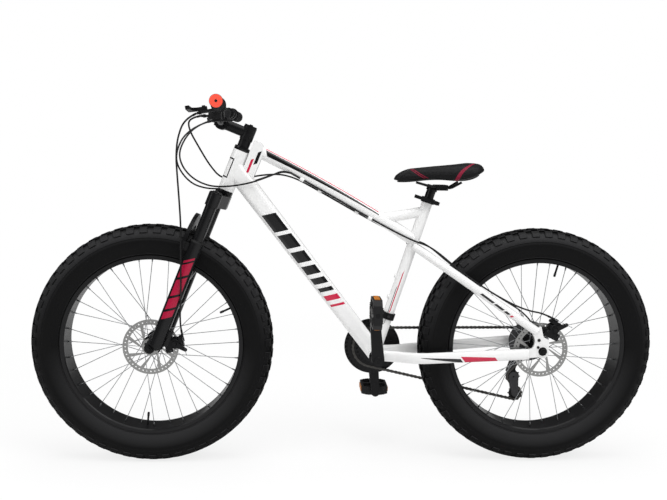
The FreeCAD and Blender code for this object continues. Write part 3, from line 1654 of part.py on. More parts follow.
# A slider on the cage rides on top of the clamp's arm
slider_foot = clamp_spot.z + 7 + float(d.fit_gap)
riser_foot = shell_point.z + 98
slider_back = clamp_spot.x - 19.6
slider = box(8, 34, 5, Placement(Vector(slider_back, -float(d.chain_line) + 4, slider_foot), Rotation()))
riser = box(8, 3, slider_foot + 5 - riser_foot,
            Placement(Vector(slider_back, -float(d.chain_line) + 4, riser_foot), Rotation()))
node("front_derailleur_cage", fuse("front_derailleur_cage", bridge, slider, riser, *fd_plates))


# Disc brake calipers: a block over the rotor, with a swinging arm on the outside

def caliper(label, frame_place, rotor_middle, tab):
    reach = d.caliper_length / 2
    rise = d.caliper_height / 2
    outline = [
        (-reach, -rise),
        (reach, -rise),
        (reach, rise - d.caliper_chamfer),
        (reach - d.caliper_chamfer, rise),
        (d.caliper_chamfer - reach, rise),
        (-reach, rise - d.caliper_chamfer),
    ]
    block = plate("caliper_block", outline, d.caliper_inboard + d.caliper_outboard,
                  frame_place.multiply(Placement(vec(0, rotor_middle + d.caliper_outboard, 0), Rotation())))
    slot = box(d.caliper_length + 20, d.rotor_thickness + d.caliper_slot, d.caliper_height,
               frame_place.multiply(Placement(vec(-d.caliper_length / 2 - 10, rotor_middle - d.rotor_thickness / 2
                                                  - d.caliper_slot / 2, -d.caliper_height / 2 - 8), Rotation())))
    stub = cylinder(6, 5, frame_place.multiply(Placement(vec(0, rotor_middle + d.caliper_outboard, 0), across)))
    stop = cylinder(4, 22, frame_place.multiply(placed(vec(2, rotor_middle + d.caliper_outboard - 6,
                                                           d.caliper_height / 2 + 2), FORWARD)))
    return cut(label, fuse(label + "_solid", block, stub, stop, *tab), slot)


def cable_stop(frame_place, rotor_middle):
    return frame_place.multVec(vec(24 + d.fit_gap, rotor_middle + d.caliper_outboard - 6, d.caliper_height / 2 + 2))


def caliper_arm(label, frame_place, rotor_middle, lean):
    outline = [
        (-8, 0, 8),
        (8, 0),
        (5, d.caliper_arm_length, 5),
        (-5, d.caliper_arm_length),
    ]
    outer = rotor_middle + d.caliper_outboard + d.fit_gap + d.caliper_arm_thickness
    place = frame_place.multiply(Placement(vec(0, outer, 0), Rotation(LEFT, lean)))
    node(label, plate(label, outline, d.caliper_arm_thickness, place, [(0, 0, 6 + d.running_gap)]))


def around_axle(centre, angle, radius):
    """A frame on the rotor's edge: local Z points away from the axle."""
    away = Vector(math.cos(math.radians(angle)), 0, math.sin(math.radians(angle)))
    return Placement(centre + away * radius, Rotation(LEFT, 90 - angle))


caliper_radius = float(d.rotor_diameter / 2 - 6)
front_rotor_middle = d.front_dropout_gap / 2 - d.rotor_inset + d.rotor_thickness / 2
rear_rotor_middle = d.rear_dropout_gap / 2 - d.rotor_inset + d.rotor_thickness / 2
front_caliper_frame = around_axle(front_axle_point, 169, caliper_radius)
rear_caliper_frame = around_axle(rear_axle_point, 117, caliper_radius)
front_caliper = caliper("front_caliper_block", front_caliper_frame, front_rotor_middle, [])
node("front_brake_caliper", cut("front_brake_caliper", front_caliper, nodes["fork_lowers"]))
rear_tab = box(34, 8, 26, Placement(rear_axle_point + vec(-20, dropout_inner - 8, 40), Rotation()))
rear_caliper = caliper("rear_caliper_block", rear_caliper_frame, rear_rotor_middle, [rear_tab])
node("rear_brake_caliper", cut("rear_brake_caliper", rear_caliper, dropouts[0], seatstays[0]))
caliper_arm("front_caliper_arm", front_caliper_frame, front_rotor_middle, -40)
caliper_arm("rear_caliper_arm", rear_caliper_frame, rear_rotor_middle, -40)


# Cables: black housings along their real routes, and the guides that hold them

def cable(name, points):
    wire, radii = bent_wire(points)
    solid = rod(name, wire, d.cable_radius)
    doc.recompute()
    section = math.pi * float(d.cable_radius) ** 2
    print(f"{name}: length {wire.Length:.0f} mm, tightest bend {min(radii):.0f} mm, "
          f"volume ratio {solid.Shape.Volume / (section * wire.Length):.4f}")
    return solid


def beside_top_tube(share, side, depth):
    """A point on the lower side of the top tube, a cable's radius away from it."""
    lean = math.radians(depth)
    reach = float(d.top_tube_radius + d.cable_radius + d.fit_gap)
    return on_top_tube(share) + LEFT * (side * reach * math.sin(lean)) - top_tube_over * (reach * math.cos(lean))


housing_gap = d.fit_gap * 4
lever_left = at_lever(1, vec(62 + housing_gap, -6, -8.3)).Base
lever_right = at_lever(-1, vec(62 + housing_gap, 6, -8.3)).Base
pod_left = on_bar(shifter_offset, 1) + vec(50 + housing_gap, 0, -25)
pod_right = on_bar(shifter_offset, -1) + vec(50 + housing_gap, 0, -25)
front_stop = cable_stop(front_caliper_frame, front_rotor_middle)
front_stop_up = front_caliper_frame.Rotation.multVec(FORWARD)
rear_stop = cable_stop(rear_caliper_frame, rear_rotor_middle)
rear_stop_ahead = rear_caliper_frame.Rotation.multVec(FORWARD)
front_cable_points = [
    lever_left,
    lever_left + vec(32, -6, -14),
    vec(470, lever_offset - 32, 944),
    vec(477, 130, 896),
    vec(477, 114, 850),
    vec(473, 106, 775),
    vec(469, 104, 700),
    vec(470, 105, 600),
    vec(470, 106, 508),
    front_stop + front_stop_up * 32,
    front_stop,
]
node("front_brake_cable", cable("front_brake_cable", front_cable_points))

rear_brake_points = [
    lever_right,
    lever_right + vec(24, 6, -8),
    vec(474, 72 - lever_offset, 968),
    vec(496, -66, 920),
    vec(490, -16, 884),
    vec(466, 10, 848),
    vec(430, 24, 822),
    vec(380, 30, 808),
    vec(295, 34, 818),
    vec(228, 30, 842),
    beside_top_tube(0.83, 1, 52),
    beside_top_tube(0.72, 1, 42),
    beside_top_tube(0.5, 1, 42),
    beside_top_tube(0.28, 1, 44),
    beside_top_tube(0.12, 1, 62),
    on_seat_axis(d.top_tube_seat_lift - 6) + vec(0, 24, 4),
    on_seat_axis(d.top_tube_seat_lift - 6) + vec(-48, 42, -10),
    rear_axle_point + vec(244, 68, 229.5),
    rear_axle_point + vec(168, 76, 178),
    rear_axle_point + vec(96, 84, 138),
    rear_axle_point + vec(44, 88, 118),
    rear_stop + rear_stop_ahead * 30,
    rear_stop,
]
rear_shift_points = [
    pod_right,
    pod_right + vec(28, 4, -6),
    vec(484, 62 - shifter_offset, 960),
    vec(503, -38, 908),
    vec(499, -30, 866),
    vec(464, -30, 820),
    vec(420, -29, 803),
    vec(366, -33, 802),
    vec(300, -36, 818),
    vec(232, -32, 842),
    beside_top_tube(0.82, -1, 50),
    beside_top_tube(0.7, -1, 42),
    beside_top_tube(0.5, -1, 42),
    beside_top_tube(0.28, -1, 44),
    beside_top_tube(0.12, -1, 62),
    on_seat_axis(d.top_tube_seat_lift - 6) + vec(0, -24, 4),
    on_seat_axis(d.top_tube_seat_lift - 6) + vec(-48, -42, -10),
    rear_axle_point + vec(244, -68, 229.5),
    rear_axle_point + vec(168, -76, 178),
    rear_axle_point + vec(84, -87, 126),
    rear_axle_point + vec(2, -96, 78),
    rear_axle_point + vec(-42, -97, 22),
    rear_axle_point + vec(-38, -102, -34),
    hanger_point + vec(-11.3, -106, 0),
]
front_shift_points = [
    pod_left,
    pod_left + vec(34, -10, -6),
    vec(448, shifter_offset - 46, 968),
    vec(428, 36, 922),
    vec(404, -14, 872),
    vec(372, -34, 832),
    vec(316, -38, 830),
    vec(250, -24, 846),
    beside_top_tube(0.8, -1, 8),
    beside_top_tube(0.6, -1, 6),
    beside_top_tube(0.36, -1, 6),
    beside_top_tube(0.16, -1, 8),
    on_seat_axis(d.top_tube_seat_lift - 52) + seat_ahead * 8 - LEFT * 19,
    on_seat_axis(d.top_tube_seat_lift - 104) - LEFT * 21,
    on_seat_axis(d.top_tube_seat_lift - 160) - LEFT * 22,
    clamp_spot + vec(2, -27, 44),
    clamp_spot + vec(-8, -30, 8),
]
frame_cables = []
clearances = []
routes = (("rear_brake_cable", rear_brake_points), ("rear_shift_cable", rear_shift_points),
          ("front_shift_cable", front_shift_points))
for name, points in routes:
    frame_cables.append(cable(name, points))
    clearances.append(rod(name + "_clearance", bent_wire(points)[0], d.cable_radius + d.running_gap * 3))
group("frame_cables", *frame_cables)

# Cable guides under the top tube, and two threaded bosses on the front of the seat tube
fittings = []
guided = ((0, 0.72, 1, 42), (0, 0.28, 1, 44), (1, 0.7, -1, 42), (1, 0.28, -1, 44), (2, 0.6, -1, 6), (2, 0.36, -1, 6))
for number, share, side, depth in guided:
    middle = beside_top_tube(share, side, depth)
    along = (on_top_tube(share + 0.02) - on_top_tube(share - 0.02)).normalize()
    lug = cylinder(d.guide_radius, d.guide_length, placed(middle - along * float(d.guide_length / 2), along))
    fittings.append(cut("cable_guide", lug, top_tube_core, clearances[number]))
for lift, hole in zip(boss_lifts, boss_holes):
    boss = cylinder(d.boss_radius, d.seat_tube_radius + d.boss_height, placed(on_seat_axis(lift), seat_ahead))
    fittings.append(cut("bottle_boss", boss, seat_core, hole))
group("frame_fittings", *fittings)

# Check every object before anything is written
doc.recompute()
faults = []
for item in doc.Objects:
    if "Invalid" in item.State or "Error" in item.State:
        faults.append(f"{item.Label}: {item.State}")
for label, item in nodes.items():
    if item.Shape.isNull() or not item.Shape.isValid() or not item.Shape.Solids:
        faults.append(f"{label}: bad shape")
if faults:
    raise RuntimeError("; ".join(faults))

os.makedirs("parts", exist_ok=True)
for label, item in nodes.items():
    item.Shape.exportStep(f"parts/{label}.step")
print(f"{len(nodes)} nodes written")
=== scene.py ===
import math

import bmesh
import bpy
from mathutils import Matrix, Vector


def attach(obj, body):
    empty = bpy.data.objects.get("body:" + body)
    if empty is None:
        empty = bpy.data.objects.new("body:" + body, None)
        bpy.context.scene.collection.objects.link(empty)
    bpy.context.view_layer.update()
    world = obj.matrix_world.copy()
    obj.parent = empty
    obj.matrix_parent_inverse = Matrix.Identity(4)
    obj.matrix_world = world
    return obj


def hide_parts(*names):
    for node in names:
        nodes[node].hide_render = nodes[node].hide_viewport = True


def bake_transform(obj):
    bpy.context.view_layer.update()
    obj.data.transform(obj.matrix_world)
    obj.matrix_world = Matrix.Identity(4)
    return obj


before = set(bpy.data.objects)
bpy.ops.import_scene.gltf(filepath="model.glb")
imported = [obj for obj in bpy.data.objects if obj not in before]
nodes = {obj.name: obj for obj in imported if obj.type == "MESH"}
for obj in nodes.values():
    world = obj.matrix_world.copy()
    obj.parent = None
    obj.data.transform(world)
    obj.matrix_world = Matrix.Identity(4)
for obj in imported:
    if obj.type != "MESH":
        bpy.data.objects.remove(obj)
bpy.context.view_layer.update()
scene = bpy.context.scene
print("frame loaded:", len(nodes), "nodes")

# main points of the bike, metres
frontAxle = Vector((0.565, 0, 0.35))
rearAxle = Vector((-0.565, 0, 0.35))
bottomBracket = Vector((-0.087, 0, 0.322))
steerUp = Vector((-0.366501, 0, 0.930418))
steerAhead = Vector((0.930418, 0, 0.366501))
forkRake = 0.03
steerFoot = frontAxle - steerAhead * forkRake
seatUp = Vector((-0.305695, 0, 0.952129))
seatAhead = Vector((0.952129, 0, 0.305695))
leftward = Vector((0, 1, 0))


def steer(ahead, side, lift):
    return steerFoot + steerAhead * ahead + steerUp * lift + leftward * side


def placed(name, data):  # a new object in the scene
    made = bpy.data.objects.new(name, data)
    scene.collection.objects.link(made)
    return made


# camera at the photo's place
cameraSet = {
    "place": (0.148296, 2.212101, 0.882327),
    "right": (-0.998792, 0.046593, 0.015598),
    "up": (0.010183, -0.114266, 0.993398),
    "lens": 41.0,
    "sensor": 36.0,
}


def makeCamera(kit):
    data = bpy.data.cameras.new("camera")
    data.lens = kit["lens"]
    data.sensor_width = kit["sensor"]
    data.sensor_fit = "HORIZONTAL"
    right = Vector(kit["right"]).normalized()
    up = Vector(kit["up"]).normalized()
    turn = Matrix((right, up, right.cross(up))).transposed()
    camera = placed("camera", data)
    camera.matrix_world = Matrix.Translation(kit["place"]) @ turn.to_4x4()
    scene.camera = camera


makeCamera(cameraSet)
scene.view_settings.view_transform = "Standard"
print("camera set")


# shader maths: a socket that adds Math nodes when used in an expression
class Wire:
    def __init__(self, tree, socket=None):
        self.tree = tree
        self.socket = socket

    def add(self, kind, settings=None, inputs=None, output=0):
        made = self.tree.nodes.new("ShaderNode" + kind)
        for key, value in (settings or {}).items():
            setattr(made, key, value)
        for key, value in (inputs or {}).items():
            self.join(value, made.inputs[key])
        return Wire(self.tree, made.outputs[output])

    def join(self, value, socket):
        if isinstance(value, Wire):
            self.tree.links.new(value.socket, socket)
        else:
            socket.default_value = value

    def out(self, name):
        return Wire(self.tree, self.socket.node.outputs[name])

    def maths(self, operation, *terms):
        return self.add("Math", {"operation": operation}, dict(enumerate(terms)))

    def mix(self, factor, first, second):
        return self.add("Mix", {"data_type": "RGBA"}, {0: factor, 6: first, 7: second}, 2)

    def size(self):
        return self.maths("ABSOLUTE", self)

    def __add__(self, other):
        return self.maths("ADD", self, other)

    def __radd__(self, other):
        return self.maths("ADD", other, self)

    def __sub__(self, other):
        return self.maths("SUBTRACT", self, other)

    def __rsub__(self, other):
        return self.maths("SUBTRACT", other, self)

    def __mul__(self, other):
        return self.maths("MULTIPLY", self, other)

    def __rmul__(self, other):
        return self.maths("MULTIPLY", other, self)

    def __truediv__(self, other):
        return self.maths("DIVIDE", self, other)

    def __rtruediv__(self, other):
        return self.maths("DIVIDE", other, self)

    def __gt__(self, other):
        return self.maths("GREATER_THAN", self, other)

    def __lt__(self, other):
        return self.maths("LESS_THAN", self, other)


def newFinish(name, constants):
    material = bpy.data.materials.new(name)
    material.use_nodes = True
    tree = material.node_tree
    shader = tree.nodes["Principled BSDF"]
    for socket, value in constants.items():
        shader.inputs[socket].default_value = value
    return material, Wire(tree), shader


def feed(wire, shader, colour, roughness, height, depth, strength):
    bump = wire.add("Bump", {}, {"Strength": strength, "Distance": depth, "Height": height})
    for name, value in (("Base Color", colour), ("Roughness", roughness), ("Normal", bump)):
        wire.join(value, shader.inputs[name])


def shade(red, green, blue):
    return (red, green, blue, 1.0)


def along(place, origin, direction):  # distance from a point along a direction
    start = Vector(origin).dot(Vector(direction))
    reach = place.add("VectorMath", {"operation": "DOT_PRODUCT"}, {0: place, 1: tuple(direction)}, "Value")
    return reach - start


def noise(place, scale, detail=2.0):
    return place.add("TexNoise", {}, {"Vector": place, "Scale": scale, "Detail": detail})


def outward(place):  # 1 where a face looks away from the middle of the bike
    side = along(place, (0, 0, 0), leftward)
    normal = place.add("NewGeometry", output="Normal")
    return along(normal, (0, 0, 0), leftward) * side.maths("SIGN", side) > 0.2


def beside(place):  # distance from the middle plane of the bike
    return along(place, (0, 0, 0), leftward).size()


def bar(run, rise, start, stop, low, high, slant=0.0):  # a slanted block between two lines
    lean = run + rise * slant if slant else run
    return (lean > start) * (lean < stop) * (rise > low) * (rise < high)


# paint colours
paint = {
    "white": shade(0.86, 0.86, 0.855),
    "whiteShade": shade(0.80, 0.80, 0.80),
    "black": shade(0.005, 0.005, 0.0055),
    "crimson": shade(0.55, 0.012, 0.055),
    "forkCrimson": shade(0.37, 0.008, 0.04),
    "saddleCrimson": shade(0.19, 0.007, 0.027),
}


# white enamel: gloss, clouding, the paint's fine ripple, roughness and bump (depth, strength)
enamelSet = {
    "gloss": {"Coat Weight": 0.35, "Coat Roughness": 0.06, "Specular IOR Level": 0.28},
    "cloud": (7.0, 3.0),
    "ripple": 520.0,
    "wear": 60.0,
    "roughness": 0.2,
    "spread": 0.12,
    "bump": (0.00004, 0.5),
}


def enamel(name, marks=None):  # gloss white enamel with painted marks
    kit = enamelSet
    material, wire, shader = newFinish(name, kit["gloss"])
    place = wire.add("TexCoord", output="Object")
    cloud = noise(place, *kit["cloud"])
    colour = wire.mix(cloud, paint["white"], paint["whiteShade"])
    for mask, mark in (marks(place) if marks else ()):
        colour = wire.mix(mask, colour, mark)
    ripple = noise(place, kit["ripple"])
    roughness = kit["roughness"] + noise(place, kit["wear"]) * kit["spread"]
    feed(wire, shader, colour, roughness, ripple, *kit["bump"])
    return material


# painted rows of slanted blocks: colour, slant, height and spans along a line on the tube
downTubeMarks = {
    "origin": bottomBracket, "along": (0.61172, 0, 0.79108), "over": (-0.79108, 0, 0.61172), "side": 0.014,
    "rows": (
        ("black", 0.45, (-0.019, 0.019), ((0.458, 0.520), (0.398, 0.446), (0.346, 0.384), (0.302, 0.332),
                                          (0.266, 0.288), (0.238, 0.252))),
        ("crimson", 0.45, (-0.019, 0.019), ((0.206, 0.224), (0.184, 0.192))),
    ),
}
seatTubeMarks = {
    "origin": bottomBracket, "along": seatUp, "over": seatAhead, "side": 0.006,
    "rows": (
        ("crimson", 4.0, (-0.0005, 0.0025), ((0.135, 0.262),)),
        ("black", 4.0, (0.0045, 0.0062), ((0.115, 0.232),)),
    ),
}
braceMarks = {
    "origin": steer(-0.04, 0, 0.6), "along": steerUp, "over": steerAhead, "side": 0.0165,
    "rows": (
        ("black", 0.8, (-0.016, -0.007), ((-0.012, 0.026),)),
        ("crimson", 0.8, (-0.003, 0.004), ((-0.034, 0.008),)),
    ),
}
seatstayMarks = {
    "origin": (-0.295, 0, 0.578), "along": (-0.8121, 0, -0.5835), "over": (-0.5835, 0, 0.8121),
    "rows": (
        ("black", -0.8, (-0.003, 0.0035), ((0.105, 0.150), (0.155, 0.185), (0.190, 0.206))),
        ("crimson", -0.8, (-0.003, 0.0035), ((0.211, 0.219),)),
    ),
}
forkMarks = {
    "origin": steer(0.015, 0, 0), "along": steerUp, "over": steerAhead, "side": 0.084,
    "rows": (
        ("forkCrimson", 0.7, (-0.013, 0.0135), ((0.234, 0.272), (0.177, 0.226), (0.136, 0.169),
                                                (0.106, 0.128), (0.278, 0.285))),
    ),
}


def rowPaint(kit):  # a kit with no side is painted on the faces that look outward
    def marks(place):
        run = along(place, kit["origin"], kit["along"])
        rise = along(place, kit["origin"], kit["over"])
        side = beside(place) > kit["side"] if "side" in kit else outward(place)
        made = []
        for colour, slant, height, spans in kit["rows"]:
            made += [(bar(run, rise, *span, *height, slant) * side, paint[colour]) for span in spans]
        return made

    return marks


# top tube: a black wedge along the upper half, a crimson line over it
topTubeMarks = {
    "back": (-0.193, 0, 0.6619),
    "along": (0.87494, 0, 0.48423),
    "over": (-0.48423, 0, 0.87494),
    "length": 0.5154,
    "bow": 0.008,
    "line": (0.12, 0.492),
    "slant": -0.8,
    "side": 0.004,
    "black": ((0.0092, -0.0126), (0.0085, 0.004)),  # each edge: height at the back, growth to the front
    "crimson": ((0.0122, 0.0014), (0.0144, 0.0014)),
}


def topTubePaint(place):
    kit = topTubeMarks
    run = along(place, kit["back"], kit["along"])
    share = run / kit["length"]
    rise = along(place, kit["back"], kit["over"]) - share * (1 - share) * (4 * kit["bow"])
    painted = bar(run, rise, *kit["line"], -1, 1, kit["slant"]) * (beside(place) > kit["side"])
    marks = []
    for colour in ("black", "crimson"):
        (low, lowGrowth), (high, highGrowth) = kit[colour]
        mask = (rise > share * lowGrowth + low) * (rise < share * highGrowth + high)
        marks.append((mask * painted, paint[colour]))
    return marks


# head tube: the outline of a plate on its front
headMarks = {"foot": 0.496, "outer": (0.034, 0.094, 0.008, 1.0), "inner": (0.0385, 0.0895, 0.0115, 1.0)}


def headPaint(place):
    origin = steer(0, 0, headMarks["foot"])
    run = along(place, origin, steerUp)
    rise = along(place, origin, steerAhead)
    return [(bar(run, rise, *headMarks["outer"]) - bar(run, rise, *headMarks["inner"]), paint["black"])]


# chainstays: a black wedge ahead of a crimson block
chainstayMarks = {
    "wedge": (0.13, 0.243), "top": 0.003, "foot": 0.0015, "growth": 0.095, "slant": 0.8,
    "crimson": (0.249, 0.348, -0.0115, 0.0095),
}


def chainstayPaint(place):
    kit = chainstayMarks
    run = along(place, bottomBracket, (-1, 0, 0))
    rise = along(place, bottomBracket, (0, 0, 1))
    side = outward(place)
    lower = kit["foot"] - (run - kit["wedge"][0]) * kit["growth"]
    wedge = (rise < kit["top"]) * (rise > lower) * bar(run, rise, *kit["wedge"], -1, 1, kit["slant"])
    crimson = bar(run, rise, *kit["crimson"], kit["slant"])
    return [(wedge * side, paint["black"]), (crimson * side, paint["crimson"])]


# coated and moulded finishes: clouding, grain detail, how much paler a cloud is, roughness spread, bump
coatKinds = {
    "lacquer": {"cloud": (22.0, 3.0), "detail": 2.0, "gain": 1.5, "lift": 0.002, "spread": 0.12,
                "bump": (0.00008, 0.4), "specular": 0.1},
    "rubber": {"cloud": (14.0, 4.0), "detail": 3.0, "gain": 1.45, "lift": 0.0, "spread": 0.14,
               "bump": (0.00018, 0.6), "specular": 0.12},
    "plastic": {"cloud": (40.0, 2.0), "detail": 2.0, "gain": 1.25, "lift": 0.0, "spread": 0.1,
                "bump": (0.0001, 0.5), "specular": 0.22},
}


def clouded(name, kind, colour, roughness, grain, coat=0.0, marks=None, specular=None):
    kit = coatKinds[kind]
    material, wire, shader = newFinish(name, {
        "Coat Weight": coat, "Coat Roughness": 0.08, "Specular IOR Level": specular or kit["specular"]})
    place = wire.add("TexCoord", output="Object")
    cloud = noise(place, *kit["cloud"])
    fine = noise(place, grain, kit["detail"])
    tone = wire.mix(cloud, shade(*colour), shade(*[part * kit["gain"] + kit["lift"] for part in colour]))
    for mask, mark in (marks(place) if marks else ()):
        tone = wire.mix(mask, tone, mark)
    feed(wire, shader, tone, roughness + cloud * kit["spread"], fine, *kit["bump"])
    return material


# painted highlight on faces that look partly up: its strength and its pale colour
paintedHighlightSet = {"gain": 1.8, "colour": shade(0.05, 0.05, 0.052)}


def paintedHighlight(place):  # a painted highlight: paler colour on the faces that look partly up, as if lit from above
    up = along(place.add("NewGeometry", output="Normal"), (0, 0, 0), (0, 0, 1))
    return [(up.maths("MAXIMUM", up * (1 - up) * paintedHighlightSet["gain"], 0.0), paintedHighlightSet["colour"])]


# brushed steel, in rings round a centre or as a fine grain
steelSet = {"dirt": (30.0, 4.0), "dark": 0.45, "spread": 0.16, "bump": (0.00006, 0.5)}


def bareSteel(name, colour, roughness, streak, centre=None, grime=0.25):
    kit = steelSet
    material, wire, shader = newFinish(name, {"Metallic": 1.0, "Specular IOR Level": 0.5})
    place = wire.add("TexCoord", output="Object")
    if centre is None:
        brush = noise(place, streak, 3.0)
    else:
        flat = wire.add("VectorMath", {"operation": "MULTIPLY"}, {0: place, 1: (1, 0, 1)})
        middle = (centre.x, 0, centre.z)
        away = wire.add("VectorMath", {"operation": "DISTANCE"}, {0: flat, 1: middle}, "Value")
        brush = wire.add("TexNoise", {"noise_dimensions": "1D"}, {
            "W": away * streak, "Scale": 1.0, "Detail": 2.0})
    dirt = noise(place, *kit["dirt"])
    tone = wire.mix(dirt * grime, shade(*colour), shade(*[part * kit["dark"] for part in colour]))
    feed(wire, shader, tone, roughness + brush * kit["spread"], brush, *kit["bump"])
    return material


whiteEnamel = enamel("whiteEnamel")
forkGloss = clouded("forkGloss", "lacquer", (0.004, 0.004, 0.0045), 0.18, 700.0, 0.22)
forkLeg = clouded("forkLegGloss", "lacquer", (0.004, 0.004, 0.0045), 0.22, 700.0, 0.18, rowPaint(forkMarks))
blackAlloy = clouded("blackAlloy", "lacquer", (0.005, 0.005, 0.0055), 0.32, 1100.0, 0.06)
castBlack = clouded("castBlack", "lacquer", (0.007, 0.007, 0.0075), 0.44, 1600.0)
rimBlack = clouded("rimBlack", "lacquer", (0.006, 0.006, 0.0065), 0.34, 900.0, 0.15)
ringBlack = clouded("chainringBlack", "lacquer", (0.006, 0.006, 0.0065), 0.38, 1200.0, 0.1)
mouldedBlack = clouded("mouldedBlack", "plastic", (0.008, 0.008, 0.0085), 0.46, 1500.0)
cableBlack = clouded("cableBlack", "plastic", (0.007, 0.007, 0.0075), 0.36, 2200.0)
# the tyre rubber has a painted highlight on its upward faces
tyreRubber = clouded("tyreRubber", "rubber", (0.0034, 0.0034, 0.0036), 0.5, 1800.0, 0.0, paintedHighlight, 0.09)
gripRubber = clouded("gripRubber", "rubber", (0.009, 0.009, 0.0095), 0.62, 2400.0)
spokeSteel = bareSteel("spokeSteel", (0.42, 0.43, 0.44), 0.3, 1500.0)
frontRotorSteel = bareSteel("frontRotorSteel", (0.33, 0.33, 0.325), 0.34, 5200.0, frontAxle, 0.2)
rearRotorSteel = bareSteel("rearRotorSteel", (0.33, 0.33, 0.325), 0.34, 5200.0, rearAxle, 0.2)
cogSteel = bareSteel("cogSteel", (0.13, 0.13, 0.135), 0.36, 3600.0, rearAxle, 0.5)
chainSteel = bareSteel("chainSteel", (0.085, 0.082, 0.078), 0.38, 1400.0, grime=0.6)
darkSteel = bareSteel("darkSteel", (0.06, 0.06, 0.062), 0.36, 1300.0)
plugOrange = clouded("plugOrange", "plastic", (0.86, 0.085, 0.05), 0.42, 1500.0)
smokedPlastic = clouded("smokedPlastic", "plastic", (0.05, 0.05, 0.052), 0.4, 1500.0)
amberLens = clouded("amberLens", "plastic", (0.42, 0.15, 0.02), 0.2, 1500.0)

finishes = {
    enamel("topTubeEnamel", topTubePaint): ("top_tube",),
    enamel("downTubeEnamel", rowPaint(downTubeMarks)): ("down_tube",),
    enamel("seatTubeEnamel", rowPaint(seatTubeMarks)): ("seat_tube",),
    enamel("headTubeEnamel", headPaint): ("head_tube",),
    enamel("braceEnamel", rowPaint(braceMarks)): ("frame_braces",),
    enamel("chainstayEnamel", chainstayPaint): ("chainstays",),
    enamel("seatstayEnamel", rowPaint(seatstayMarks)): ("seatstays",),
    whiteEnamel: ("bottom_bracket_shell", "dropouts", "frame_fittings"),
    forkGloss: ("fork_uppers", "bearing_cups", "seatpost", "handlebar", "saddle_mount"),
    forkLeg: ("fork_lowers",),
    blackAlloy: ("stem", "seat_clamp", "seat_clamp_lever", "brake_lever_left", "brake_lever_right",
                 "crank_arms", "front_hub", "rear_hub", "derailleur_link", "derailleur_mounts"),
    castBlack: ("front_caliper_arm", "rear_caliper_arm", "rear_axle", "front_axle"),
    rimBlack: ("front_rim", "rear_rim"),
    ringBlack: ("chainrings",),
    mouldedBlack: ("bar_controls", "pedal_left", "pedal_right", "saddle_base", "shifter_lever_left",
                   "shifter_lever_right"),
    gripRubber: ("front_inner_tube", "rear_inner_tube"),
    spokeSteel: ("front_spokes", "rear_spokes"),
    frontRotorSteel: ("front_rotor",),
    rearRotorSteel: ("rear_rotor",),
    cogSteel: ("freewheel_cogs",),
    darkSteel: ("derailleur_cage", "front_derailleur_cage"),
    plugOrange: ("grip_plugs",),
}
for finish, names in finishes.items():
    for name in names:
        for materialSlot in nodes[name].material_slots:
            materialSlot.material = finish
print("finishes made")


# mesh helpers, all in metres in the bike's own frame
def pointing(place, direction):  # a frame at a point with its Z along a direction
    return Matrix.Translation(place) @ Vector(direction).to_track_quat("Z", "Y").to_matrix().to_4x4()


def mm(*spots):  # a lathe profile given in millimetres
    return [(radius / 1000, height / 1000) for radius, height in spots]


def addLathe(bm, profile, place, segments, closed=False):
    rings = []
    for step in range(segments):
        angle = 2 * math.pi * step / segments
        ahead, side = math.cos(angle), math.sin(angle)
        spots = [Vector((radius * ahead, radius * side, height)) for radius, height in profile]
        rings.append([bm.verts.new(place @ spot) for spot in spots])
    spans = len(profile) if closed else len(profile) - 1
    for step in range(segments):
        here = rings[step]
        there = rings[(step + 1) % segments]
        for number in range(spans):
            after = (number + 1) % len(profile)
            bm.faces.new((here[number], there[number], there[after], here[after]))
    if not closed:
        bm.faces.new([ring[0] for ring in reversed(rings)])
        bm.faces.new([ring[-1] for ring in rings])


def addBlock(bm, size, place, bevel=0.0):
    made = bmesh.ops.create_cube(bm, size=1.0, matrix=place @ Matrix.Diagonal((*size, 1.0)))
    if bevel:
        edges = list(dict.fromkeys(edge for vert in made["verts"] for edge in vert.link_edges))
        bmesh.ops.bevel(bm, geom=edges, offset=bevel, segments=2, affect="EDGES", profile=0.6)


def addTube(bm, points, radius, sides=12):
    rings = []
    over = None
    for number, point in enumerate(points):
        ahead = (points[min(number + 1, len(points) - 1)] - points[max(number - 1, 0)]).normalized()
        if over is None:
            over = ahead.orthogonal().normalized()
        over = (over - ahead * over.dot(ahead)).normalized()
        side = ahead.cross(over)
        ring = []
        for step in range(sides):
            angle = 2 * math.pi * step / sides
            ring.append(bm.verts.new(point + (over * math.cos(angle) + side * math.sin(angle)) * radius))
        rings.append(ring)
    for here, there in zip(rings, rings[1:]):
        for step in range(sides):
            after = (step + 1) % sides
            bm.faces.new((here[step], here[after], there[after], there[step]))
    bm.faces.new(list(reversed(rings[0])))
    bm.faces.new(rings[-1])


def piece(name, bm, finish, body=None, stands=(), sharp=38):
    mesh = bpy.data.meshes.new(name)
    bmesh.ops.recalc_face_normals(bm, faces=bm.faces)
    bm.to_mesh(mesh)
    bm.free()
    made = placed(name, mesh)
    mesh.materials.append(finish)
    mesh.polygons.foreach_set("use_smooth", [True] * len(mesh.polygons))
    mesh.set_sharp_from_angle(angle=math.radians(sharp))
    if stands:
        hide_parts(*stands)
    if body:
        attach(made, body)
    return made


def turned(name, finish, body, rows, closed=False, sharp=38):  # a piece of lathe-turned forms
    bm = bmesh.new()
    for profile, spot, direction, segments in rows:
        addLathe(bm, profile, pointing(spot, direction), segments, closed=closed)
    piece(name, bm, finish, body, sharp=sharp)


def radial(angle, radius):  # a point on a wheel's circle
    return Vector((radius * math.cos(angle), 0, radius * math.sin(angle)))


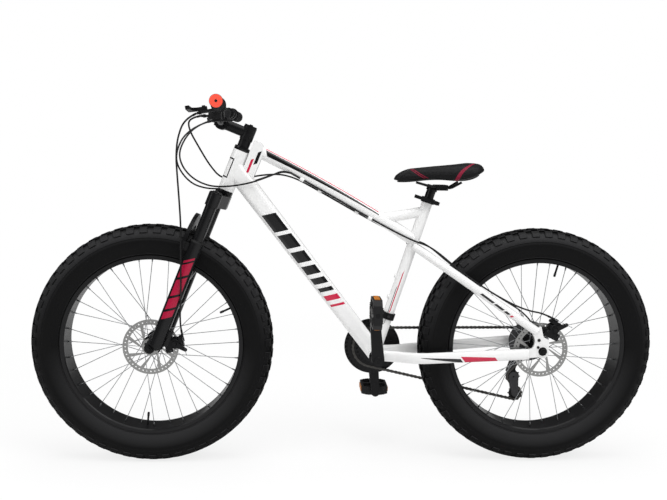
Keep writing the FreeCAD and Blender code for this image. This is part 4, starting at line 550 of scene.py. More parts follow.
# cables: routes as control points, lever end first
tubeRun = ((0.036, 0.0139, 0.7802), (-0.0627, 0.0144, 0.7243), (-0.1358, 0.0184, 0.6862),
           (-0.194, 0.024, 0.6592), (-0.242, 0.042, 0.6452), (-0.321, 0.068, 0.5795), (-0.397, 0.076, 0.528))
cableSet = {
    "radius": 0.0025,
    "cap": mm((2.4, 0), (3.1, 0.8), (3.1, 11), (2.6, 12)),
    "front_brake_housing": ((0.4162, 0.171, 1.0065), (0.4482, 0.165, 0.9925), (0.47, 0.145, 0.944),
                            (0.477, 0.13, 0.896), (0.477, 0.114, 0.85), (0.473, 0.106, 0.775),
                            (0.469, 0.104, 0.7), (0.47, 0.105, 0.6), (0.47, 0.106, 0.508),
                            (0.4795, 0.0705, 0.424), (0.4734, 0.0705, 0.3926)),
    "rear_brake_housing": ((0.4165, -0.171, 1.0064), (0.4405, -0.165, 0.9984), (0.474, -0.105, 0.968),
                           (0.496, -0.066, 0.92), (0.49, -0.016, 0.884), (0.466, 0.01, 0.848),
                           (0.43, 0.024, 0.822), (0.38, 0.03, 0.808), (0.295, 0.034, 0.818),
                           (0.228, 0.03, 0.842), (0.1853, 0.0164, 0.8618), (0.136, 0.0139, 0.8338), *tubeRun,
                           (-0.469, 0.084, 0.488), (-0.521, 0.088, 0.468), (-0.5611, 0.088, 0.462),
                           (-0.5878, 0.088, 0.4484)),
    "rear_shift_housing": ((0.4097, -0.133, 1.0027), (0.4377, -0.129, 0.9967), (0.484, -0.071, 0.96),
                           (0.503, -0.038, 0.908), (0.499, -0.03, 0.866), (0.464, -0.03, 0.82),
                           (0.42, -0.029, 0.803), (0.366, -0.033, 0.802), (0.3, -0.036, 0.818),
                           (0.232, -0.032, 0.842), (0.1809, -0.0159, 0.859), (0.1269, -0.0139, 0.829),
                           *[(x, -y, z) for x, y, z in tubeRun], (-0.481, -0.087, 0.476),
                           (-0.563, -0.096, 0.428), (-0.607, -0.097, 0.372), (-0.603, -0.102, 0.316),
                           (-0.5603, -0.106, 0.316)),
    "front_shift_housing": ((0.4097, 0.133, 1.0027), (0.4437, 0.123, 0.9967), (0.448, 0.087, 0.968),
                            (0.428, 0.036, 0.922), (0.404, -0.014, 0.872), (0.372, -0.034, 0.832),
                            (0.316, -0.038, 0.83), (0.25, -0.024, 0.846), (0.1752, -0.0029, 0.8481),
                            (0.0838, -0.0022, 0.8003), (-0.0243, -0.0022, 0.7401), (-0.112, -0.0155, 0.694),
                            (-0.172, -0.0265, 0.6645), (-0.187, -0.0235, 0.632), (-0.1641, -0.0225, 0.5621),
                            (-0.147, -0.022, 0.5088), (-0.1214, -0.027, 0.4793), (-0.1314, -0.03, 0.4433)),
}


def routeLine(name, points):  # the smooth line of a route, as points of its spline
    data = bpy.data.curves.new(name + "_route", "CURVE")
    data.dimensions = "3D"
    data.resolution_u = 10
    spline = data.splines.new("NURBS")
    spline.points.add(len(points) - 1)
    for spot, point in zip(spline.points, points):
        spot.co = (*point, 1.0)
    spline.order_u = 3
    spline.use_endpoint_u = True
    holder = placed(name + "_route", data)
    bpy.context.view_layer.update()
    mesh = bpy.data.meshes.new_from_object(holder)
    line = [vertex.co.copy() for vertex in mesh.vertices]
    bpy.data.objects.remove(holder)
    bpy.data.meshes.remove(mesh)
    return line


def makeCable(name, stands, start, end):
    line = routeLine(name, cableSet[name])
    bm = bmesh.new()
    addTube(bm, line, cableSet["radius"], 10)
    for tip, inner in ((line[0], line[3]), (line[-1], line[-4])):  # crimped end caps
        addLathe(bm, cableSet["cap"], pointing(tip, inner - tip), 16)
    made = piece(name, bm, cableBlack, stands=(stands,))
    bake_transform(made)


makeCable("front_brake_housing", "front_brake_cable", steer(0, 0, 0.56),
          steer(0, 0, 0.16))
for name, headEnd in (("rear_brake_housing", (0.47, 0, 0.95)), ("rear_shift_housing", (0.47, 0, 0.95)),
                      ("front_shift_housing", (0.45, 0, 0.97))):
    makeCable(name, "frame_cables", headEnd, (0.26, 0, 0.83))
print("cables laid")

# tyres: a domed casing with bowed sides, and rows of raised blocks
tyreSet = {
    "crown": 0.3444,
    "drop": 0.007,
    "shoulder": 0.036,
    "belly": 0.30625,
    "half": 0.049,
    "lip": 0.2625,
    "bead": 0.0367,
    "seat": 0.2538,
    "wall": 0.0025,
    "segments": 165,
    "outerSteps": 34,
    "innerSteps": 12,
    "stride": 0.0002,
    "sharp": 26,
    "ridges": ((0.0050, 0.0013, 0.0007), (0.0540, 0.0022, 0.0005)),  # run from the rim, half width, lift
    "pitches": 55,
    "length": 0.022,
    "ends": ((-1.0, 0.0007), (-0.93, 0.0), (0.93, 0.0), (1.0, 0.0007)),
    "rows": (  # phase, sides, section as (run in shoulder widths, lift)
        (0.0, (1,), ((-0.34, -0.0012), (0.34, -0.0012), (0.33, 0.0056), (0.30, 0.0062), (-0.30, 0.0062),
                     (-0.33, 0.0056))),
        (0.5, (1, -1), ((0.43, -0.0012), (0.72, -0.0012), (0.71, 0.0049), (0.69, 0.0056), (0.46, 0.0056),
                        (0.44, 0.0049))),
        (0.0, (1, -1), ((0.82, -0.0012), (1.40, -0.0012), (1.37, 0.0022), (1.345, 0.0029), (1.06, 0.0050),
                        (0.86, 0.0056), (0.835, 0.0048))),
    ),
}


def bow(run, bulge):  # radius of an arc that bulges over a run
    return (run * run + bulge * bulge) / (2 * bulge)


def casingSpot(distance, lift):  # (radius, half width) at a run round the section from the crown
    kit = tyreSet
    dome = bow(kit["shoulder"], kit["drop"])
    domeRun = dome * math.asin(kit["shoulder"] / dome)
    if distance <= domeRun:
        turn = distance / dome
        return Vector((kit["crown"] - dome + (dome + lift) * math.cos(turn), (dome + lift) * math.sin(turn)))
    rise = kit["crown"] - kit["drop"] - kit["belly"]
    arc = bow(rise, kit["half"] - kit["shoulder"])
    turn = math.asin(rise / arc) - (distance - domeRun) / arc
    if turn < 0:
        lower = bow(kit["belly"] - kit["lip"], kit["half"] - kit["bead"])
        turn *= arc / lower
        arc = lower
    reach = arc + lift
    return Vector((kit["belly"] + reach * math.sin(turn), kit["half"] - arc + reach * math.cos(turn)))


def casingRun():  # the whole run from the crown to the rim's lip
    kit = tyreSet
    distance = kit["shoulder"]
    while casingSpot(distance, 0.0).x > kit["lip"]:
        distance += kit["stride"]
    return distance


def casingProfile():
    kit = tyreSet
    total = casingRun()
    steps = kit["outerSteps"]
    stations = {total * number / steps: 0.0 for number in range(steps + 1)}
    for fromRim, half, lift in kit["ridges"]:
        middle = total - fromRim
        for share, raised in ((-1, 0.0), (-0.4, lift), (0.4, lift), (1, 0.0)):
            stations[middle + half * share] = raised
    outer = [tuple(casingSpot(run, lift)) for run, lift in sorted(stations.items())]
    outer.append((kit["seat"], kit["bead"]))
    inner = [(kit["seat"], kit["bead"] - kit["wall"])]
    steps = kit["innerSteps"]
    inner += [tuple(casingSpot(total * number / steps, -kit["wall"])) for number in range(steps, -1, -1)]
    right = [(radius, -side) for radius, side in reversed(outer)]
    back = [(radius, -side) for radius, side in reversed(inner[:-1])]
    return right + outer[1:] + inner + back


def addKnob(bm, centre, section, middle, hand):
    kit = tyreSet
    rings = []
    for share, sink in kit["ends"]:
        angle = middle + share * kit["length"] / 2 / kit["crown"]
        outward = Vector((math.cos(angle), 0, -math.sin(angle)))
        ring = []
        for run, lift in section:
            spot = casingSpot(run * kit["shoulder"], lift - sink if lift > 0 else lift)
            ring.append(bm.verts.new(centre + outward * spot.x + leftward * (hand * spot.y)))
        rings.append(ring)
    bm.faces.new(rings[0])
    bm.faces.new(rings[-1])
    for here, there in zip(rings, rings[1:]):
        for corner in range(len(section)):
            after = (corner + 1) % len(section)
            bm.faces.new((here[corner], here[after], there[after], there[corner]))


def makeTyre(name, centre, body, node):
    kit = tyreSet
    bm = bmesh.new()
    addLathe(bm, casingProfile(), pointing(centre, leftward), kit["segments"], closed=True)
    pitch = 2 * math.pi / kit["pitches"]
    for phase, hands, section in kit["rows"]:
        for hand in hands:
            for number in range(kit["pitches"]):
                addKnob(bm, centre, section, math.pi / 2 + (number + phase) * pitch, hand)
    return piece(name, bm, tyreRubber, body, (node,), kit["sharp"])


makeTyre("front_knobbly_tyre", frontAxle, "front_wheel", "front_tyre")
makeTyre("rear_knobbly_tyre", rearAxle, "rear_wheel", "rear_tyre")
print("tyres made")

# wheel trim: spoke nipples, rotor bolts and valve caps
wheelSet = {
    "perFlange": 18,
    "cross": math.radians(60),
    "footRadius": 0.026,
    "flange": 0.036,
    "headOut": 0.0022,
    "rimRadius": 0.252,
    "rimSide": 0.009,
    "bolts": 6,
    "boltCircle": 0.0165,
    "capFoot": 0.224,
    "protectorSide": 0.0455,
    "nipple": mm((1.7, 0), (2.1, 0.8), (2.1, 6.5), (1.6, 11.8), (1.2, 12.2)),
    "bolt": mm((3.5, 0), (3.5, 1.2), (2.8, 2), (1.6, 2.1), (1.4, 1.2)),
    "cap": mm((3.4, 0), (3.6, 1), (3.6, 9), (2.9, 11.5), (1.2, 11.8)),
    "protector": mm((30, 0), (34, 0.4), (52, 1.6), (60, 2), (62.2, 3), (62.2, 1.4), (60, 0.6), (52, 0.2),
                    (34, -1), (30, -1)),
}


def makeWheelTrim(side, centre, rotorFace, valves):
    kit = wheelSet
    body = side + "_wheel"
    nipples = []
    step = 2 * math.pi / kit["perFlange"]
    for hand in (1, -1):
        for number in range(kit["perFlange"]):
            lean = 1 if number % 2 else -1
            start = number * step + (step / 2 if hand > 0 else 0)
            foot = radial(start, kit["footRadius"])
            foot += leftward * (hand * kit["flange"] + lean * kit["headOut"])
            tip = radial(start + lean * kit["cross"], kit["rimRadius"]) + leftward * (hand * kit["rimSide"])
            nipples.append((kit["nipple"], centre + tip, foot - tip, 10))
    turned(side + "_spoke_nipples", spokeSteel, body, nipples)
    bolts = []
    for number in range(kit["bolts"]):
        angle = math.radians(360 / kit["bolts"] * (number + 0.5))
        spot = radial(angle, kit["boltCircle"]) + leftward * rotorFace
        bolts.append((kit["bolt"], centre + spot, leftward, 18))
    turned(side + "_rotor_bolts", darkSteel, body, bolts)
    caps = []
    for angle in valves:
        outer = radial(math.radians(angle), 1.0)
        caps.append((kit["cap"], centre + outer * kit["capFoot"], -outer, 16))
    turned(side + "_valve_caps", mouldedBlack, body, caps)
    if side == "rear":  # the spoke protector behind the cogs
        disc = (kit["protector"], centre - leftward * kit["protectorSide"], leftward, 72)
        turned("spoke_protector", smokedPlastic, body, (disc,), closed=True)


makeWheelTrim("front", frontAxle, 0.0555, (-85, 155))
makeWheelTrim("rear", rearAxle, 0.0730, (105,))
print("wheel trim made")

# chain: links along the loop of ring, pulleys and cog
chainSet = {
    "pitch": 0.0127,
    "line": -0.068,
    "ringTeeth": 30,
    "cogTeeth": 18,
    "pulleyTeeth": 10,
    "guide": (-0.529, 0.231),
    "tension": (-0.535, 0.178),
    "plateRadius": 0.0041,
    "waist": 0.0029,
    "plate": 0.0010,
    "inner": 0.0017,
    "roller": 0.0038,
    "pin": mm((1.7, 0), (1.9, 0.3), (1.9, 7.7), (1.7, 8)),
    "pinOut": 0.0023,
    "slack": (-0.15, 0.315),  # links behind and below this point are the run by the pulleys
    "caged": -0.42,  # of those, the links behind this swing with the cage
}


def toothRadius(teeth):
    return chainSet["pitch"] / (2 * math.sin(math.pi / teeth))


def chainLoop():
    kit = chainSet
    stops = (
        (Vector((bottomBracket.x, bottomBracket.z)), toothRadius(kit["ringTeeth"]), -1),
        (Vector(kit["tension"]), toothRadius(kit["pulleyTeeth"]), -1),
        (Vector(kit["guide"]), toothRadius(kit["pulleyTeeth"]), 1),
        (Vector((rearAxle.x, rearAxle.z)), toothRadius(kit["cogTeeth"]), -1),
    )
    legs = []
    for number, (here, radius, sense) in enumerate(stops):
        there, nextRadius, nextSense = stops[(number + 1) % len(stops)]
        away = there - here
        dip = math.asin((nextSense * nextRadius - sense * radius) / away.length)
        angle = math.atan2(away.y, away.x) - dip
        left = Vector((-math.sin(angle), math.cos(angle)))
        legs.append((here - left * (sense * radius), there - left * (nextSense * nextRadius)))
    stretches = []
    for number, (centre, radius, sense) in enumerate(stops):
        arrive = legs[number - 1][1] - centre
        leave = legs[number][0] - centre
        start = math.atan2(arrive.y, arrive.x)
        stop = math.atan2(leave.y, leave.x)
        turn = (stop - start) % (2 * math.pi) if sense > 0 else -((start - stop) % (2 * math.pi))
        stretches.append((abs(turn) * radius, centre, radius, start, turn))
        stretches.append(((legs[number][1] - legs[number][0]).length, legs[number][0], legs[number][1]))
    total = sum(stretch[0] for stretch in stretches)

    def spot(distance):
        rest = distance % total
        for stretch in stretches:
            if rest <= stretch[0]:
                break
            rest -= stretch[0]
        share = rest / stretch[0]
        if len(stretch) == 3:
            return stretch[1].lerp(stretch[2], share)
        angle = stretch[3] + stretch[4] * share
        return stretch[1] + Vector((math.cos(angle), math.sin(angle))) * stretch[2]

    return spot, total


def addLinkPlate(bm, start, stop, low, high):
    kit = chainSet
    ahead = (stop - start).normalized()
    over = Vector((-ahead.y, ahead.x))
    outline = []
    for centre, turn in ((start, math.pi / 2), (stop, -math.pi / 2)):
        for step in range(7):
            angle = turn + math.pi * step / 6
            outline.append(centre + (ahead * math.cos(angle) + over * math.sin(angle)) * kit["plateRadius"])
        outline.append((start + stop) / 2 + over * (kit["waist"] * (-1 if turn > 0 else 1)))
    rings = [[bm.verts.new((spot.x, side, spot.y)) for spot in outline] for side in (low, high)]
    bm.faces.new(rings[0])
    bm.faces.new(list(reversed(rings[1])))
    for number in range(len(outline)):
        after = (number + 1) % len(outline)
        bm.faces.new((rings[0][number], rings[1][number], rings[1][after], rings[0][after]))


def makeChain():
    kit = chainSet
    spot, total = chainLoop()
    count = 2 * round(total / kit["pitch"] / 2)
    pins = [spot(total * number / count) for number in range(count)]
    fixed = bmesh.new()
    slack = bmesh.new()
    caged = bmesh.new()
    for number, here in enumerate(pins):
        there = pins[(number + 1) % count]
        wide = number % 2
        near = kit["inner"] + (kit["plate"] if wide else 0.0)
        far = near + kit["plate"]
        middle = (here + there) / 2
        low = middle.x < kit["slack"][0] and middle.y < kit["slack"][1]
        swung = low and middle.x < kit["caged"] and middle.y < kit["guide"][1]
        bm = caged if swung else slack if low else fixed
        for hand in (1, -1):
            ends = sorted((kit["line"] + hand * near, kit["line"] + hand * far))
            addLinkPlate(bm, here, there, *ends)
        rollerFoot = pointing((here.x, kit["line"] - kit["inner"], here.y), leftward)
        addLathe(bm, ((kit["roller"], 0.0), (kit["roller"], kit["inner"] * 2)), rollerFoot, 12)
        pinFoot = pointing((here.x, kit["line"] - kit["inner"] - kit["pinOut"], here.y), leftward)
        addLathe(bm, kit["pin"], pinFoot, 10)
    piece("chain_upper_run", fixed, chainSteel, "frame", ("chain",))
    made = piece("chain_lower_run", slack, chainSteel, stands=("chain",))
    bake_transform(made)
    made = piece("chain_cage_run", caged, chainSteel, stands=("chain",))
    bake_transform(made)
    print("chain links:", count)


makeChain()

# grips: a flange, ribs and a plain end
gripSet = {
    "shoulder": 0.112, "end": 0.332, "rise": 0.036, "sweep": 0.018, "clamp": (0.366, 0, 0.9917),
    "length": 0.126, "bore": 0.0112, "radius": 0.0166, "flange": 0.020, "ribs": 19,
    "ribStart": 0.010, "ribLess": 0.022,
    "rib": ((-0.0010, 0), (0.0004, 0.18), (0.0004, 0.62), (-0.0010, 0.8)),  # lift, share of a rib's pitch
    "plain": ((0.0160, 0.010), (0.0170, 0.008), (0.0170, 0.001), (0.0162, 0.0)),  # radius, back from the end
}


def onBar(distance, side):
    kit = gripSet
    share = (distance - kit["shoulder"]) / (kit["end"] - kit["shoulder"])
    clamp = Vector(kit["clamp"])
    return clamp + Vector((-kit["sweep"] / 3 - kit["sweep"] * 2 / 3 * share, side * distance, kit["rise"]))


def makeGrips():
    kit = gripSet
    bm = bmesh.new()
    for side in (1, -1):
        inner = onBar(kit["end"] - kit["length"], side)
        wide = kit["flange"]
        length = kit["length"]
        profile = [(kit["bore"], 0.0), (wide - 0.001, 0.0), (wide, 0.001), (wide, 0.003),
                   (wide - 0.001, 0.004), (kit["radius"], 0.006)]
        step = (length - kit["ribLess"]) / kit["ribs"]
        for rib in range(kit["ribs"]):
            foot = kit["ribStart"] + rib * step
            profile += [(kit["radius"] + lift, foot + step * share) for lift, share in kit["rib"]]
        profile += [(radius, length - back) for radius, back in kit["plain"]]
        profile.append((kit["bore"], length))
        addLathe(bm, profile, pointing(inner, onBar(kit["end"], side) - inner), 40, closed=True)
    piece("ribbed_grips", bm, gripRubber, "steering", ("grips",))


makeGrips()
print("grips made")

# fork: dust seals on the legs, caps on the crown
forkSet = {
    "leg": 0.015,
    "spread": 0.080,
    "sealLift": 0.333,
    "capLift": 0.482,
    "seal": mm((16.3, 0), (20.4, 0), (20.8, 1.2), (20.8, 3.4), (19.8, 4.6), (18.6, 4.8), (18, 6.6),
               (16.5, 7.4)),
    "cap": mm((18, 0), (18, 1.4), (16.8, 2.6), (12.4, 2.8), (11.8, 4.8), (10.6, 5.6), (5, 5.7), (4.4, 3.6)),
}


def makeForkTrim(kit):
    legs = [hand * kit["spread"] for hand in (1, -1)]
    seals = [(kit["seal"], steer(kit["leg"], side, kit["sealLift"]), steerUp, 40) for side in legs]
    caps = [(kit["cap"], steer(kit["leg"], side, kit["capLift"]), steerUp, 36) for side in legs]
    turned("fork_seals", mouldedBlack, "lowers", seals, closed=True)
    turned("fork_caps", blackAlloy, "steering", caps)


makeForkTrim(forkSet)


# places along the handlebar, and points in the frames of a lever and a caliper
leverAt = 0.177
shifterAt = 0.133
leverDroop = 12
caliperRadius = 0.074
frontCaliper = (frontAxle, 169)  # centre of the rotor, and degrees round it
rearCaliper = (rearAxle, 117)
armAhead = -0.0216  # where a pull arm holds its wire
armOver = 0.0262


def leverSpot(hand, ahead, out, over):  # a brake lever droops from the bar
    droop = math.radians(leverDroop)
    return onBar(leverAt, hand) + Vector((ahead * math.cos(droop) + over * math.sin(droop), hand * out,
                                          over * math.cos(droop) - ahead * math.sin(droop)))


def caliperSpot(centre, degrees, ahead, out, over):  # a caliper sits on its rotor's edge
    angle = math.radians(degrees)
    forward = Vector((math.sin(angle), 0, -math.cos(angle)))
    return centre + radial(angle, caliperRadius + over) + forward * ahead + leftward * out


# calipers: two pucks astride the rotor under a ribbed bridge, a mounting bar and a cable stop
caliperSet = {
    "inner": mm((8.6, -15.8), (9.2, -12), (15, -11.2), (16, -9.6), (16, -2.8), (6, -2.6)),
    "outer": mm((6, 2.6), (16, 2.8), (16, 11), (14.4, 13.2), (14.4, 19.6), (12.6, 21.6), (6, 21.8),
                (6, 26.8)),
    "stop": mm((3.4, 0), (4, 0.8), (4, 9), (3.3, 10), (3.3, 20.5), (2.8, 22)),
    "puckOver": -0.002,
    "blocks": (  # size, place ahead, out and over, bevel
        ((0.034, 0.035, 0.009), (0, 0.003, 0.0145), 0.003),
        ((0.046, 0.0075, 0.021), (0, 0.0182, -0.0195), 0.003),
        ((0.010, 0.006, 0.011), (0.007, 0.0158, 0.0205), 0.0015),
        *[((0.030, 0.003, 0.003), (0, out, 0.0195), 0.0008) for out in (-0.008, -0.001, 0.006)],
    ),
    "stopFoot": (0.002, 0.016, 0.024),
    "stopAim": (0.012, 0.016, 0.024),
    "tabPlace": (-0.003, 0.081, 0.055),
    "tabBevel": 0.003,
}


def makeCaliper(name, centre, degrees, middle, body, node, tab=None):
    kit = caliperSet

    def at(ahead, out, over):
        turn = Matrix.Rotation(math.radians(90 - degrees), 4, "Y")
        return Matrix.Translation(caliperSpot(centre, degrees, ahead, middle + out, over)) @ turn

    bm = bmesh.new()
    for part in ("inner", "outer"):
        addLathe(bm, kit[part], pointing(at(0, 0, kit["puckOver"]).translation, leftward), 36)
    for size, place, bevel in kit["blocks"]:
        addBlock(bm, size, at(*place), bevel)
    stop = at(*kit["stopFoot"]).translation
    addLathe(bm, kit["stop"], pointing(stop, at(*kit["stopAim"]).translation - stop), 20)
    if tab:
        addBlock(bm, tab, Matrix.Translation(centre + Vector(kit["tabPlace"])), kit["tabBevel"])
    piece(name, bm, castBlack, body, (node,))


makeCaliper("front_caliper", *frontCaliper, 0.0545, "lowers", "front_brake_caliper")
makeCaliper("rear_caliper", *rearCaliper, 0.072, "frame", "rear_brake_caliper", (0.030, 0.008, 0.022))
print("calipers made")

# bolts by body: where each head sits, which way it faces, its radius and height
seatEar = bottomBracket + seatUp * 0.479 - seatAhead * 0.0239
hanger = rearAxle + Vector((0.016, 0, -0.034))
leverOver = leverSpot(1, 0, 0, 1) - leverSpot(1, 0, 0, 0)
clampBack = Vector((-0.0155, 0, -0.004))
boltSet = {
    "frame": (
        (seatEar - leftward * 0.0188, -leftward, 0.0062, 0.0050),
        (bottomBracket + seatUp * 0.119 + leftward * 0.0204, leftward, 0.0036, 0.0030),
        (hanger - leftward * 0.1136, -leftward, 0.0062, 0.0034),
        (rearAxle + Vector((0.012, 0.092, 0.033)), leftward, 0.0046, 0.0022),
        (rearAxle + Vector((0.014, 0.092, 0.012)), leftward, 0.0040, 0.0020),
        *[(caliperSpot(*rearCaliper, ahead, 0.0938, -0.015), leftward, 0.0034, 0.0028)
          for ahead in (0.017, -0.017)],
    ),
    "lowers": [(caliperSpot(*frontCaliper, ahead, 0.0763, -0.015), leftward, 0.0034, 0.0028)
               for ahead in (0.017, -0.017)],
    "steering": (
        *[(steer(0.0950, out, 0.670 + over), steerAhead, 0.0036, 0.0032)
          for out in (0.015, -0.015) for over in (0.011, -0.011)],
        *[(steer(-0.010, 0.0158, lift), leftward, 0.0034, 0.0030) for lift in (0.660, 0.680)],
        *[(leverSpot(hand, 0.040, 0, 0.0052), leverOver, 0.0046, 0.0030) for hand in (1, -1)],
        *[(onBar(spot, hand) + clampBack, (-1, 0, -0.25), radius, radius - 0.0005)
          for spot, radius in ((leverAt, 0.0033), (shifterAt, 0.0031)) for hand in (1, -1)],
        (steer(0, 0, 0.6936), steerUp, 0.0052, 0.0036),
    ),
    "rear_link": (
        (hanger + Vector((0.002, -0.1096, -0.022)), -leftward, 0.0046, 0.0026),
        (hanger + Vector((0.020, -0.1096, -0.078)), -leftward, 0.0050, 0.0030),
    ),
    "rear_cage": ((Vector((-0.535, -0.0736, 0.178)), -leftward, 0.0042, 0.0024),),
    "front_brake_arm": (
        (caliperSpot(*frontCaliper, armAhead, 0.0806, armOver), leftward, 0.0036, 0.0032),
    ),
    "rear_brake_arm": (
        (caliperSpot(*rearCaliper, armAhead, 0.0981, armOver), leftward, 0.0036, 0.0032),
    ),
}


def boltProfile(radius, height):  # a domed head with a socket
    return ((radius, -0.0008), (radius, height * 0.72), (radius * 0.88, height), (radius * 0.54, height),
            (radius * 0.48, height * 0.35))


for body, heads in boltSet.items():
    turned(body + "_bolts", darkSteel, body,
           [(boltProfile(radius, height), spot, direction, 18) for spot, direction, radius, height in heads])
print("bolts set")

# cranks: dust caps over the spindle, hexagon nuts on the axles
capSet = {
    "crankFace": 0.104,
    "axles": (("frame", rearAxle, 0.092), ("lowers", frontAxle, 0.0775)),
    "stack": (("washer", 0.0, 28), ("nut", 0.0014, 6), ("stub", 0.0092, 20)),
    "crank": mm((12.8, -0.6), (12.8, 1.4), (11.4, 3), (5.2, 3.6), (4.6, 2.4)),
    "nut": mm((10.4, -0.2), (10.4, 8), (9.4, 9.2), (5.4, 9.2), (5.2, 8)),
    "washer": mm((12.2, -0.2), (12.6, 0.3), (12.6, 1.3), (11.8, 1.7), (5.6, 1.7)),
    "stub": mm((5, 0), (5, 4.6), (4.2, 5.4), (1.2, 5.5)),
}


def makeCaps(kit):
    caps = [(kit["crank"], bottomBracket + leftward * (hand * kit["crankFace"]), leftward * hand, 36)
            for hand in (1, -1)]
    turned("crank_caps", blackAlloy, "crank", caps)
    for body, centre, face in kit["axles"]:
        nuts = [(kit[part], centre + leftward * (hand * (face + lift)), leftward * hand, sides)
                for hand in (1, -1) for part, lift, sides in kit["stack"]]
        turned(body + "_axle_nuts", castBlack, body, nuts, sharp=30)


makeCaps(capSet)

# jockey wheels: a moulded disc with short teeth under the chain
pulleySet = {
    "disc": mm((3.6, -2.2), (7, -2.2), (8.2, -1.4), (17.6, -1.4), (18.6, -1), (18.6, 1), (17.6, 1.4),
               (8.2, 1.4), (7, 2.2), (3.6, 2.2)),
    "tooth": (0.0036, 0.0018, 0.0044),
    "teeth": 10,
    "toothLift": 0.0196,
    "toothBevel": 0.0006,
}


def makePulley(body, node, centre):
    bm = bmesh.new()
    addLathe(bm, pulleySet["disc"], pointing(centre, leftward), 40, closed=True)
    for number in range(pulleySet["teeth"]):
        turn = Matrix.Rotation(2 * math.pi * (number + 0.5) / pulleySet["teeth"], 4, "Y")
        place = Matrix.Translation(centre) @ turn @ Matrix.Translation((0, 0, pulleySet["toothLift"]))
        addBlock(bm, pulleySet["tooth"], place, pulleySet["toothBevel"])
    piece(body + "_jockey", bm, mouldedBlack, body, (node,))


for part in ("guide", "tension"):
    ahead, lift = chainSet[part]
    makePulley(part + "_wheel", part + "_pulley", Vector((ahead, chainSet["line"], lift)))

# pedals: amber reflectors on the ends and rows of teeth on both faces
pedalSet = {
    "left": (Vector((-0.0724, 0.156, 0.4733)), Vector((0, 0, 1)), Vector((1, 0, 0))),
    "right": (Vector((-0.1016, -0.156, 0.1707)), Vector((1, 0, 0)), Vector((0, 0, 1))),
    "lens": (0.0034, 0.054, 0.0150),
    "lensOut": 0.0008,
    "lensBevel": 0.0010,
    "ribs": 9,
    "rib": (0.0012, 0.0036, 0.0118),
    "ribOut": 0.0016,
    "ribStep": 0.0056,
    "ribBevel": 0.0004,
    "tooth": mm((2.6, -0.6), (2.4, 1), (1.2, 2.6), (0.6, 2.8)),
    "toothRow": 4,
    "toothSide": 0.0415,
    "toothLift": 0.0125,
    "toothStart": 0.006,
    "toothLess": 0.022,
}


def makePedalTrim(name, centre, ahead, over):
    kit = pedalSet
    turn = Matrix((ahead, leftward, over)).transposed().to_4x4()
    low = min(nodes["pedal_" + name].bound_box, key=lambda corner: Vector(corner).dot(ahead))
    reach = abs((nodes["pedal_" + name].matrix_world @ Vector(low) - centre).dot(ahead))
    lens = bmesh.new()
    teeth = bmesh.new()
    for end in (1, -1):
        spot = centre + ahead * (end * (reach + kit["lensOut"]))
        addBlock(lens, kit["lens"], Matrix.Translation(spot) @ turn, kit["lensBevel"])
        for number in range(kit["ribs"]):
            rib = spot + ahead * (end * kit["ribOut"])
            rib += leftward * ((number - kit["ribs"] // 2) * kit["ribStep"])
            addBlock(lens, kit["rib"], Matrix.Translation(rib) @ turn, kit["ribBevel"])
        for hand in (1, -1):
            for face in (1, -1):
                for number in range(kit["toothRow"]):
                    spike = centre + leftward * (hand * kit["toothSide"])
                    spike += over * (face * kit["toothLift"])
                    share = number * (reach - kit["toothLess"]) / kit["toothRow"]
                    spike += ahead * (end * (kit["toothStart"] + share))
                    addLathe(teeth, kit["tooth"], pointing(spike, over * face), 6)
    piece("pedal_" + name + "_reflectors", lens, amberLens, "pedal_" + name + "_body")
    piece("pedal_" + name + "_teeth", teeth, mouldedBlack, "pedal_" + name + "_body")


makePedalTrim("left", *pedalSet["left"])
makePedalTrim("right", *pedalSet["right"])
print("pedals trimmed")

# controls: knurled cable adjusters, pod lids and the dark centres of the grip plugs
controlSet = {
    "knurls": 14,
    "knurl": (0.0010, 0.0010, 0.0058),
    "knurlRadius": 0.0044,
    "knurlLift": 0.0039,
    "knurlBevel": 0.0003,
    "leverBarrel": ((0.049, -0.006, -0.0083), (0.060, -0.006, -0.0083)),  # foot and aim
    "podBarrel": (0.037, 0, -0.025),
    "podLid": (0.014, 0, -0.016),
    "dotOut": 0.0033,
    "barrel": mm((3.8, 0), (4.4, 0.6), (4.4, 7.2), (3.8, 7.8), (3.6, 12), (2.8, 12.4)),
    "lid": mm((14.8, -0.4), (15.2, 0.6), (14.4, 1.6), (9, 1.8), (8.4, 1.2), (3, 1.2), (2.6, 2.4),
              (1.2, 2.6)),
    "dot": mm((3.6, -0.4), (3.6, 0.3), (3, 0.6), (1.1, 0.2)),
}


def addAdjuster(bm, foot, direction):
    kit = controlSet
    place = pointing(foot, direction)
    turn = place.to_quaternion().to_matrix().to_4x4()
    addLathe(bm, kit["barrel"], place, 20)
    for number in range(kit["knurls"]):
        angle = 2 * math.pi * number / kit["knurls"]
        radius = kit["knurlRadius"]
        spot = place @ Vector((radius * math.cos(angle), radius * math.sin(angle), kit["knurlLift"]))
        addBlock(bm, kit["knurl"], Matrix.Translation(spot) @ turn, kit["knurlBevel"])


def makeControls(kit):
    knurls = bmesh.new()
    lids = []
    dots = []
    for hand in (1, -1):
        barrel, aim = [leverSpot(hand, *spot) for spot in kit["leverBarrel"]]
        addAdjuster(knurls, barrel, aim - barrel)
        pod = onBar(shifterAt, hand)
        addAdjuster(knurls, pod + Vector(kit["podBarrel"]), (1, 0, 0))
        lids.append((kit["lid"], pod + Vector(kit["podLid"]), (0, 0, 1), 36))
        end = onBar(gripSet["end"], hand)
        outer = (end - onBar(gripSet["shoulder"], hand)).normalized()
        dots.append((kit["dot"], end + outer * kit["dotOut"], outer, 24))
    piece("cable_adjusters", knurls, mouldedBlack, "steering")
    turned("shifter_lids", mouldedBlack, "steering", lids)
    turned("plug_centres", mouldedBlack, "steering", dots)


makeControls(controlSet)


